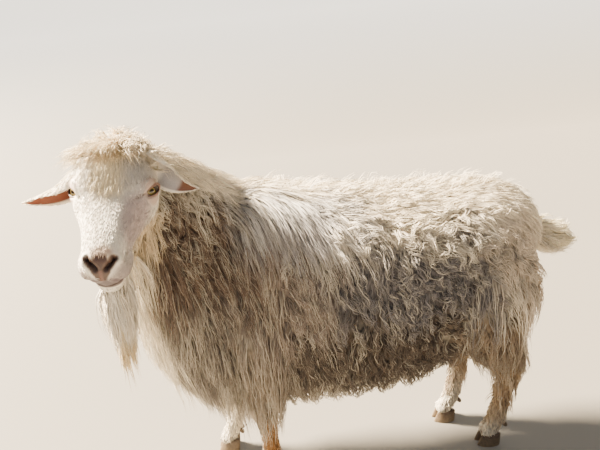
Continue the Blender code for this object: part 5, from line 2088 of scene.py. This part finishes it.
    def follow(
        self, roots: Array, normals: Array, ways: Array, unwrap: Array, grow: Growth, light: float = 1.0
    ) -> Tufts:
        """Tufts at given roots, gathered into locks.

        Args:
            roots: where the tufts start.
            normals: the skin's normals there.
            ways: the way each lies.
            unwrap: each root's place on the unwrap of the skin.
            grow: how they grow.
            light: what the colour is multiplied by.

        Returns:
            The tufts.
        """
        count = len(roots)
        leaders = self.rng.choice(count, max(1, count // grow.locks), replace=False)
        paths, ups = self.guides(roots[leaders], normals[leaders], ways[leaders], grow)
        tree = KDTree(len(leaders))
        for i, leader in enumerate(leaders):
            tree.insert(roots[leader], i)
        tree.balance()
        lock = np.array([tree.find(root)[1] for root in roots])
        t = np.linspace(0, 1, grow.rings + 1)
        cut = self.rng.uniform(*END_RANGE, (count, 1))
        at = t[None] * cut * grow.rings
        low = np.minimum(at.astype(int), grow.rings - 1)
        part = (at - low)[..., None]
        own, own_up = paths[lock], ups[lock]
        rows = np.arange(count)[:, None]
        path = own[rows, low] * (1 - part) + own[rows, low + 1] * part
        up = unit(own_up[rows, low] * (1 - part) + own_up[rows, low + 1] * part)
        away = roots - own[:, 0]
        away = away - normals * np.einsum("ij,ij->i", away, normals)[:, None]
        path = path + away[:, None, :] * (1 - grow.gather * t[None, :, None] ** 1.2)
        along = unit(np.gradient(path, axis=1))
        across = unit(np.cross(along, up))
        if grow.curl > 0:
            phase = self.rng.uniform(0, 2 * math.pi, len(leaders))[lock] + self.rng.normal(0, 0.3, count)
            bend = 2 * math.pi * grow.length * t[None] / grow.wave
            bend = bend * self.rng.uniform(*WAVE_RANGE, (count, 1)) + phase[:, None]
            size = grow.curl * self.rng.uniform(*CURL_RANGE, (count, 1)) * np.minimum(1, t * 2.5)[None]
            path = path + across * (size * np.cos(bend))[..., None]
            path = path + up * (0.7 * size * (1 + np.sin(bend)))[..., None]
        stray = self.rng.normal(0, grow.stray, (count, 2)) / 1.4
        path = path + across * (stray[:, :1] * t[None] ** 1.5)[..., None]
        path = path + up * (np.abs(stray[:, 1:]) * t[None] ** 1.5)[..., None]
        bright = self.rng.normal(1.0, grow.vary, len(leaders))[lock]
        bright = bright * self.rng.normal(1.0, 0.8 * grow.vary, count)
        tones = markings(roots) * np.clip(bright * light, 0.5, 1.35)[:, None]
        fleck = (self.rng.uniform(0, 1, len(leaders)) < 0.4 * grow.flecks)[lock]
        fleck = fleck | (self.rng.uniform(0, 1, count) < grow.flecks)
        tones[fleck] = blend(tones[fleck], Tint.CREAM, self.rng.uniform(*FLECK_RANGE, fleck.sum()))
        widths = grow.width * self.rng.uniform(*WIDTH_RANGE, count)
        return Tufts(path, up, widths, tones, unwrap, grow)

    def piece(self, name: str, groups: list[Tufts]) -> None:
        """Joins groups of tufts into pieces that stay under the limit of triangles.

        Args:
            name: the piece's name.
            groups: the tufts.
        """
        batch: list[tuple[Shape, Array, Array, Array]] = []
        size, number = 0, 1
        for group in groups:
            each = 6 * (group.paths.shape[1] - 1) - 2
            fit = max(1, self.limit // each)
            for start in range(0, len(group.paths), fit):
                made = group.cut(start, start + fit).mesh(self.rng)
                if size + len(made[0].faces) > self.limit:
                    self.write(f"{name}_{number}", batch)
                    batch, size, number = [], 0, number + 1
                batch.append(made)
                size += len(made[0].faces)
        self.write(name if number == 1 else f"{name}_{number}", batch)

    def write(self, name: str, batch: list[tuple[Shape, Array, Array, Array]]) -> None:
        """Makes one piece of the coat, with its colours and its unwrap.

        Args:
            name: its name.
            batch: what Tufts.mesh made, group by group.
        """
        shape = batch[0][0].joined(*(made[0] for made in batch[1:]))
        obj = build_mesh(name, shape)
        colours = np.concatenate([made[1] for made in batch])
        paint(obj, tone=as_colour(colours), strand=np.concatenate([made[2] for made in batch]))
        unwrap = np.concatenate([made[3] for made in batch])[shape.faces.ravel()]
        layer = obj.data.uv_layers.new(name="OFBake")
        layer.data.foreach_set("uv", unwrap.astype(np.float32).ravel())
        dress(obj, self.finish)
        self.total += len(shape.faces)

    def body_hair(self) -> None:
        """The hair of the torso, the neck, the tail and the legs, piece by piece."""
        for name, fields in COAT_PLAN.items():
            groups = []
            for where in fields:
                groups.append(self.grow(where))
                if where.both:
                    groups.append(self.grow(where, mirrored=True))
            self.piece(name, groups)

    def face_hair(self) -> None:
        """Short fur all over the head, and the long hair of poll, forelock, cheeks and chin."""
        shape, normals = self.head.shape, self.head.normals
        a, b, c = shape.corners()
        middle = in_head((a + b + c) / 3)
        bare, _ = self.head.bare((a + b + c) / 3)
        allowed = shape.sizes() * (bare < self.bare_limit) * (middle[:, 0] > self.head_from)
        allowed = allowed * (apart_from(NOSTRIL, middle) > self.nose_clear)
        allowed = allowed * (apart_from(NOSTRIL, middle + TIP_AHEAD) > self.tip_clear)
        allowed = allowed * (apart_from(MOUTH, middle) > self.lip_clear)
        groups = []
        for coat in HEAD_PLAN:
            number = int(coat.number * self.density)
            corner, mix, roots = self.draw(shape, allowed * coat.weight(middle), number)
            up = unit((normals[corner] * mix).sum(axis=1))
            spots = in_head(roots)
            turn = np.arctan2(spots[:, 1] + 0.05, spots[:, 2])
            unwrap = self.on_unwrap((spots[:, 0] + 0.03) / 0.29, (turn + math.pi) / (2 * math.pi))
            groups.append(self.follow(roots, up, coat.ways(spots), unwrap, coat.growth))
        self.piece("head_hair", groups)

    def draw(self, shape: Shape, weight: Array, number: int) -> tuple[Array, Array, Array]:
        """Draws places on a shape's faces by weight.

        Args:
            shape: the surface.
            weight: one value a face.
            number: how many places.

        Returns:
            Each face's corners, how much of each corner, and the places.
        """
        chosen = self.rng.choice(len(weight), number, p=weight / weight.sum())
        u = self.rng.uniform(0, 1, (number, 2))
        u = np.where(u.sum(axis=1, keepdims=True) > 1, 1 - u, u)
        corner, mix = shape.faces[chosen], np.stack([1 - u.sum(axis=1), u[:, 0], u[:, 1]], axis=1)[..., None]
        return corner, mix, (shape.points[corner] * mix).sum(axis=1)

    def ear_hair(self, ears: list[Ear]) -> None:
        """Short fur on the backs and rims of the ears.

        Args:
            ears: the ears, in the order of the body's.
        """
        groups = []
        for ear, (shape, inner, share) in zip(ears, self.body.ears):
            hairy = inner[shape.faces].mean(axis=1) < self.hollow_limit
            corner, _, roots = self.draw(shape, shape.sizes() * hairy, self.ear_tufts)
            _, ups, _ = self.body.nearest(roots)
            out, ahead, down = ear.reach
            ways = np.repeat(unit([[ear.side * out, -ahead, -down]]), len(roots), axis=0)
            ring = (corner[:, 0] % (2 * ear.around)) / (2 * ear.around)
            unwrap = self.on_unwrap(share[corner[:, 0]], ring)
            groups.append(self.follow(roots, ups, ways, unwrap, EAR_FUR, self.ear_light))
        self.piece("ear_hair", groups)


@dataclass(frozen=True)
class HeadCoat:
    """One kind of hair on the head: round a middle of the head's frame, with the way it lies there."""

    middle: tuple[float, float, float]
    radii: tuple[float, float, float]
    number: int
    way: tuple[float, float, float]
    growth: Growth
    part: float = 0.0
    both: bool = True
    edge: tuple[float, float] = (1.1, 0.3)
    middle_band: float = 0.02
    part_band: float = 0.045

    def weight(self, spots: Array) -> Array:
        """1 inside the ellipsoid round the middle, with a soft edge."""
        apart = np.linalg.norm((folded(spots, self.both) - self.middle) / self.radii, axis=1)
        return smooth_step((self.edge[0] - apart) / self.edge[1])

    def ways(self, spots: Array) -> Array:
        """The way in the head's frame, parted to both sides of the middle line by the part.

        Args:
            spots: places in the head's frame.

        Returns:
            One way for each, in the design frame.
        """
        ways = np.repeat(np.array([self.way], float), len(spots), axis=0)
        side = np.clip(spots[:, 2] / self.middle_band, -1, 1)
        ways[:, 2] = ways[:, 2] * side + self.part * np.clip(spots[:, 2] / self.part_band, -1, 1)
        return unit(ways @ HEAD_AXES)


# The numbers follow the fields of Growth: length, width, height, lift, hang, curl, wave, locks, gather,
# rings, spread, stray, root_shade, swirl, flecks
RINGLETS = Growth(
    0.064, 0.0026, 0.022, 30, 0.22, 0.0044, 0.042, 9, 0.80, 6, 22, 0.003, 0.40, 24, 0.14, vary=0.13
)
CURLS = Growth(
    0.048, 0.0027, 0.020, 44, 0.12, 0.0048, 0.034, 8, 0.82, 6, 48, 0.002, 0.40, 30, 0.14, vary=0.13
)
MESSY = Growth(0.066, 0.0024, 0.020, 34, 0.12, 0.0036, 0.050, 9, 0.66, 5, 42, 0.004, 0.54, 30, 0.18)
FALL = Growth(0.135, 0.0022, 0.016, 20, 0.38, 0.0010, 0.080, 6, 0.40, 4, 5, 0.005, 0.74, 9)
SIDE_HAIR = Growth(
    0.105, 0.0022, 0.018, 22, 0.30, 0.0024, 0.055, 6, 0.50, 4, 12, 0.006, 0.56, 18, 0.30, vary=0.16
)
TOPLINE = Growth(0.085, 0.0023, 0.018, 27, 0.12, 0.0010, 0.080, 5, 0.30, 3, 9, 0.006, 0.90, 12)
WISPS = Growth(0.070, 0.0016, 0.040, 60, 0.00, 0.0030, 0.050, 4, 0.70, 4, 34, 0.006, 0.95, 20)
FRINGE = Growth(0.085, 0.0028, 0.018, 30, 0.60, 0.0040, 0.045, 9, 0.78, 5, 24, 0.004, 0.46, 20)
RUMP = Growth(0.052, 0.0028, 0.013, 30, 0.15, 0.0028, 0.040, 9, 0.60, 4, 20, 0.004, 0.66, 16)
CREST = Growth(0.085, 0.0023, 0.018, 24, 0.14, 0.0012, 0.060, 6, 0.36, 4, 8, 0.004, 0.80, 10)
NECK_WOOL = Growth(
    0.044, 0.0020, 0.017, 36, 0.18, 0.0034, 0.034, 6, 0.62, 5, 32, 0.003, 0.46, 24, 0.22, vary=0.15
)
MANE = Growth(0.135, 0.0023, 0.024, 24, 0.58, 0.0022, 0.065, 7, 0.55, 4, 10, 0.008, 0.60, 12, 0.34, vary=0.16)
SKIRT = Growth(
    0.160, 0.0024, 0.022, 22, 0.52, 0.0022, 0.065, 8, 0.62, 5, 10, 0.006, 0.56, 12, 0.34, vary=0.14
)
THIGH = Growth(0.066, 0.0027, 0.015, 28, 0.22, 0.0036, 0.036, 8, 0.64, 4, 26, 0.004, 0.54, 24, 0.08)
HOCK_HAIR = Growth(0.075, 0.0026, 0.012, 20, 0.40, 0.0022, 0.045, 9, 0.65, 4, 14, 0.004, 0.58, 12, 0.10)
HANGING = Growth(
    0.150, 0.0025, 0.016, 24, 0.65, 0.0028, 0.050, 8, 0.62, 5, 14, 0.006, 0.50, 14, 0.16, vary=0.13
)
SHORT = Growth(0.022, 0.0022, 0.0042, 16, 0.25, 0.0, 0.02, 5, 0.4, 2, 10, 0.0015, 0.72)
BRUSH = Growth(0.096, 0.0025, 0.038, 50, 0.08, 0.0010, 0.070, 7, 0.16, 4, 10, 0.010, 0.94)
EAR_FUR = Growth(0.0130, 0.0011, 0.0014, 10, 0.05, 0.0, 0.03, 3, 0.2, 2, 9, 0.0006, 0.92)
LONG_HAIR = Growth(0.200, 0.0026, 0.020, 16, 0.85, 0.0020, 0.080, 11, 0.72, 5, 9, 0.007, 0.76, 8, 0.2)
BEARD_HAIR = Growth(0.155, 0.0022, 0.014, 14, 0.85, 0.0018, 0.070, 10, 0.68, 5, 8, 0.006, 0.78)

# The fields of each piece: loft, shares of the way along it, angles round it, number of tufts and their way
COAT_PLAN = {
    "flank_hair": (
        Field("torso", (0.34, 0.56), (-44, 22), 1900, (0.10, 0.0, -1.0), RINGLETS),
        Field("torso", (0.52, 0.80), (-46, 26), 2500, (0.45, 0.0, -0.9), CURLS),
        Field("torso", (0.42, 0.72), (22, 52), 1050, (0.70, 0.0, -0.8), MESSY),
    ),
    "shoulder_hair": (
        Field("torso", (0.0, 0.46), (32, 84), 2900, (0.28, 0.0, -1.0), FALL, last_way=(0.60, 0.0, -1.0)),
        Field(
            "torso", (0.12, 0.40), (-50, 34), 1500, (0.10, 0.0, -1.0), SIDE_HAIR, last_way=(0.35, 0.0, -1.0)
        ),
    ),
    "back_hair": (
        Field("torso", (0.40, 0.94), (50, 92), 3500, (0.95, 0.0, -0.40), TOPLINE),
        Field("torso", (0.68, 0.98), (30, 62), 700, (0.80, 0.0, -0.60), TOPLINE),
        Field("torso", (0.30, 0.90), (74, 92), 240, (0.60, 0.0, 0.3), WISPS),
    ),
    "belly_hair": (Field("torso", (0.14, 0.80), (-94, -42), 1400, (0.10, 0.0, -1.0), FRINGE),),
    "rump_hair": (Field("torso", (0.70, 1.0), (-70, 66), 2700, (0.55, 0.0, -0.9), RUMP),),
    "neck_hair": (
        Field("neck", (0.04, 1.0), (34, 92), 1900, (0.90, 0.45, -0.45), CREST),
        Field("neck", (0.06, 0.54), (-44, 44), 1500, (0.45, 0.15, -1.0), NECK_WOOL),
        Field("neck", (0.36, 0.95), (-60, 52), 1500, (0.25, 0.10, -1.0), SIDE_HAIR),
    ),
    "chest_hair": (
        Field("bib", (0.0, 1.0), (-92, 40), 1600, (-0.1, -0.1, -1.0), MANE),
        Field("bib", (0.45, 1.0), (-92, 60), 450, (0.1, 0.0, -1.0), LONG_HAIR),
    ),
    "tail_hair": (
        Field("tail", (0.10, 1.0), (0, 360), 900, (1.0, 0.0, -0.42), BRUSH, False),
        Field("tail", (0.0, 1.0), (175, 365), 1000, (1.0, 0.0, -0.60), BRUSH, False),
    ),
    "beard_hair": (
        Field("beard", (0.0, 0.9), (0, 360), 1100, (0.0, -0.05, -1.0), BEARD_HAIR, False),
        Field("beard", (0.45, 1.0), (0, 360), 350, (0.0, -0.05, -1.0), LONG_HAIR, False),
    ),
    "foreleg_hair": tuple(
        Field(name, (0.04, 0.36), (0, 360), 1100, (0.1, 0.0, -1.0), SKIRT, False)
        for name in ("foreleg_left", "foreleg_right")
    ),
    "hindleg_hair": tuple(
        Field(name, shares, (0, 360), number, (0.25, 0.0, -1.0), growth, False)
        for name in ("hindleg_left", "hindleg_right")
        for shares, number, growth in (
            ((0.0, 0.30), 1800, THIGH),
            ((0.05, 0.32), 760, HANGING),
            ((0.24, 0.60), 900, HOCK_HAIR),
        )
    ),
    "short_leg_hair": tuple(
        Field(name, (0.34, 0.97), (0, 360), 2300, (0.0, 0.0, -1.0), SHORT, False) for name in LEG_PATHS
    ),
}

FACE_FUR = Growth(0.0100, 0.0009, 0.0004, 3, 0.0, 0.0, 0.03, 3, 0.1, 2, 6, 0.0002, 0.98, roll=0.08, vary=0.02)
CHEEK_FUR = Growth(0.024, 0.0015, 0.0030, 18, 0.15, 0.0008, 0.02, 5, 0.3, 3, 10, 0.0015, 0.85)
POLL_FLUFF = Growth(0.064, 0.0018, 0.028, 50, 0.08, 0.0016, 0.060, 5, 0.30, 4, 24, 0.008, 0.95, 14, vary=0.05)
FORELOCK = Growth(0.032, 0.0012, 0.0030, 9, 0.0, 0.0, 0.03, 4, 0.10, 3, 6, 0.0008, 0.96, roll=0.2, vary=0.04)
JAW_HAIR = Growth(0.100, 0.0022, 0.014, 18, 0.75, 0.0016, 0.070, 9, 0.60, 4, 9, 0.005, 0.82)

# Middle and radii in the head's frame, number of tufts and their way
HEAD_PLAN = (
    HeadCoat((0.130, -0.030, 0.020), (0.130, 0.070, 0.070), 12500, (0.85, 0.0, 0.22), FACE_FUR),
    HeadCoat((0.100, -0.090, 0.045), (0.090, 0.050, 0.040), 2600, (0.35, -0.75, 0.1), CHEEK_FUR),
    HeadCoat((-0.002, -0.012, 0.010), (0.034, 0.050, 0.050), 2200, (0.16, 0.20, 0.0), POLL_FLUFF, 0.40),
    HeadCoat((0.048, 0.006, 0.0), (0.046, 0.034, 0.048), 2500, (1.0, 0.0, 0.0), FORELOCK, 0.26, False),
    HeadCoat((0.110, -0.112, 0.034), (0.105, 0.034, 0.030), 1100, (0.0, -1.0, 0.0), JAW_HAIR),
    HeadCoat((0.190, -0.096, 0.014), (0.045, 0.024, 0.026), 1000, (0.0, -1.0, 0.0), BEARD_HAIR),
    HeadCoat((0.222, -0.088, 0.0), (0.024, 0.020, 0.030), 600, (0.15, -1.0, 0.2), EAR_FUR),
)


@dataclass
class Studio:
    """A plain pale floor with a backdrop, soft lights and the camera at the photograph's place."""

    half_width: float = 18.0
    front: float = -14.0
    far: float = 6.0
    bend: float = 4.0
    tall: float = 9.0
    world: str = "#E9ECF0"
    world_light: float = 0.14
    sun_from: tuple[float, float, float] = (-5.0, 2.3, 4.9)
    sun_light: float = 76.0
    sun_angle: float = math.radians(14.0)
    sun_colour: str = "#FFEBCC"
    fill_from: tuple[float, float, float] = (-0.4, -3.0, 1.6)
    fill_aim: tuple[float, float, float] = (-0.05, 0.0, 0.5)
    fill_size: float = 2.4
    fill_light: float = 22.0
    fill_colour: str = "#F4F6FF"
    under: float = 0.0002

    def build(self) -> None:
        """Sets the floor, the sky's light, the lamps and the camera."""
        self.backdrop()
        world = bpy.data.worlds.new("soft_sky")
        world.use_nodes = True
        sky = world.node_tree.nodes["Background"]
        sky.inputs["Color"].default_value = (*linear(self.world), 1)
        sky.inputs["Strength"].default_value = self.world_light
        bpy.context.scene.world = world
        self.lamps()
        self.camera()

    def lamps(self) -> None:
        """A warm sun from the photograph's side, and a square soft lamp near the camera."""
        sun = bpy.data.lights.new("key", "SUN")
        sun.energy = self.sun_light
        sun.angle = self.sun_angle
        sun.color = linear(self.sun_colour)
        placed("key", sun).rotation_euler = Vector(self.sun_from).to_track_quat("Z", "Y").to_euler()
        fill = bpy.data.lights.new("fill", "AREA")
        fill.size = self.fill_size
        fill.energy = self.fill_light
        fill.color = linear(self.fill_colour)
        obj = placed("fill", fill)
        obj.location = self.fill_from
        away = Vector(self.fill_aim) - Vector(self.fill_from)
        obj.rotation_euler = away.to_track_quat("-Z", "Y").to_euler()

    def backdrop(self) -> None:
        """A sheet whose profile is level, turns up through a quarter of a circle and ends upright."""
        turn = np.linspace(0, math.pi / 2, 25)
        curve = self.far + self.bend * np.sin(turn)
        reach = np.concatenate([[self.front, 0.0], curve, [self.far + self.bend]])
        height = np.concatenate([[0.0, 0.0], self.bend * (1 - np.cos(turn)), [self.tall]])
        across = np.linspace(-self.half_width, self.half_width, 5)
        rows, columns = len(reach), len(across)
        right = unit(np.cross(CAMERA_WAY, UP))
        ahead = CAMERA_WAY * reach[:, None, None] + UP * height[:, None, None]
        points = ahead + right * across[None, :, None]
        points = points.reshape(-1, 3) - (0, 0, self.under)
        i, j = pairs(rows - 1, columns - 1)
        a = i * columns + j
        faces = quads(a, a + 1, a + columns + 1, a + columns)
        sheet = build_mesh("studio_floor", Shape(points, faces))
        sheet.data.materials.append(FloorFinish().make())
        sheet.visible_shadow = False

    def camera(self) -> None:
        """The camera at the photograph's place: level heading, then pitch, then roll about its own view."""
        ahead = CAMERA_WAY * math.cos(CAMERA_PITCH) + DOWN * math.sin(CAMERA_PITCH)
        right = unit(np.cross(ahead, UP))
        above = np.cross(right, ahead)
        c, s = math.cos(CAMERA_ROLL), math.sin(CAMERA_ROLL)
        right, above = right * c - above * s, right * s + above * c
        matrix = Matrix.Identity(4)
        for i in range(3):
            matrix[i][0], matrix[i][1], matrix[i][2] = right[i], above[i], -ahead[i]
            matrix[i][3] = (CAMERA_SPOT + SHIFT)[i]
        data = bpy.data.cameras.new("camera")
        data.sensor_width = SENSOR_WIDTH
        data.lens = CAMERA_LENS
        obj = placed("camera", data)
        obj.matrix_world = matrix
        bpy.context.scene.camera = obj


def main() -> None:
    """Builds the studio and the goat, piece by piece."""
    logging.basicConfig(level=logging.INFO, format="%(message)s")
    Studio().build()
    skin, hair = SkinFinish().make(), HairFinish().make()
    head = Head()
    head.build()
    LOG.info("head skin: %d triangles", len(head.shape.faces))
    body = Body()
    body.build(head, [LEFT_EAR, RIGHT_EAR], skin)
    eye = EyeFinish().make()
    for side in (1, -1):
        Eye(side).build(eye)
    horn = HornFinish().make()
    for leg in LEG_PATHS:
        Hoof(leg).build(horn)
    coat = Coat(body, head, hair)
    coat.face_hair()
    coat.ear_hair([LEFT_EAR, RIGHT_EAR])
    coat.body_hair()
    LOG.info("coat: %d triangles", coat.total)


if __name__ == "__main__":
    main()
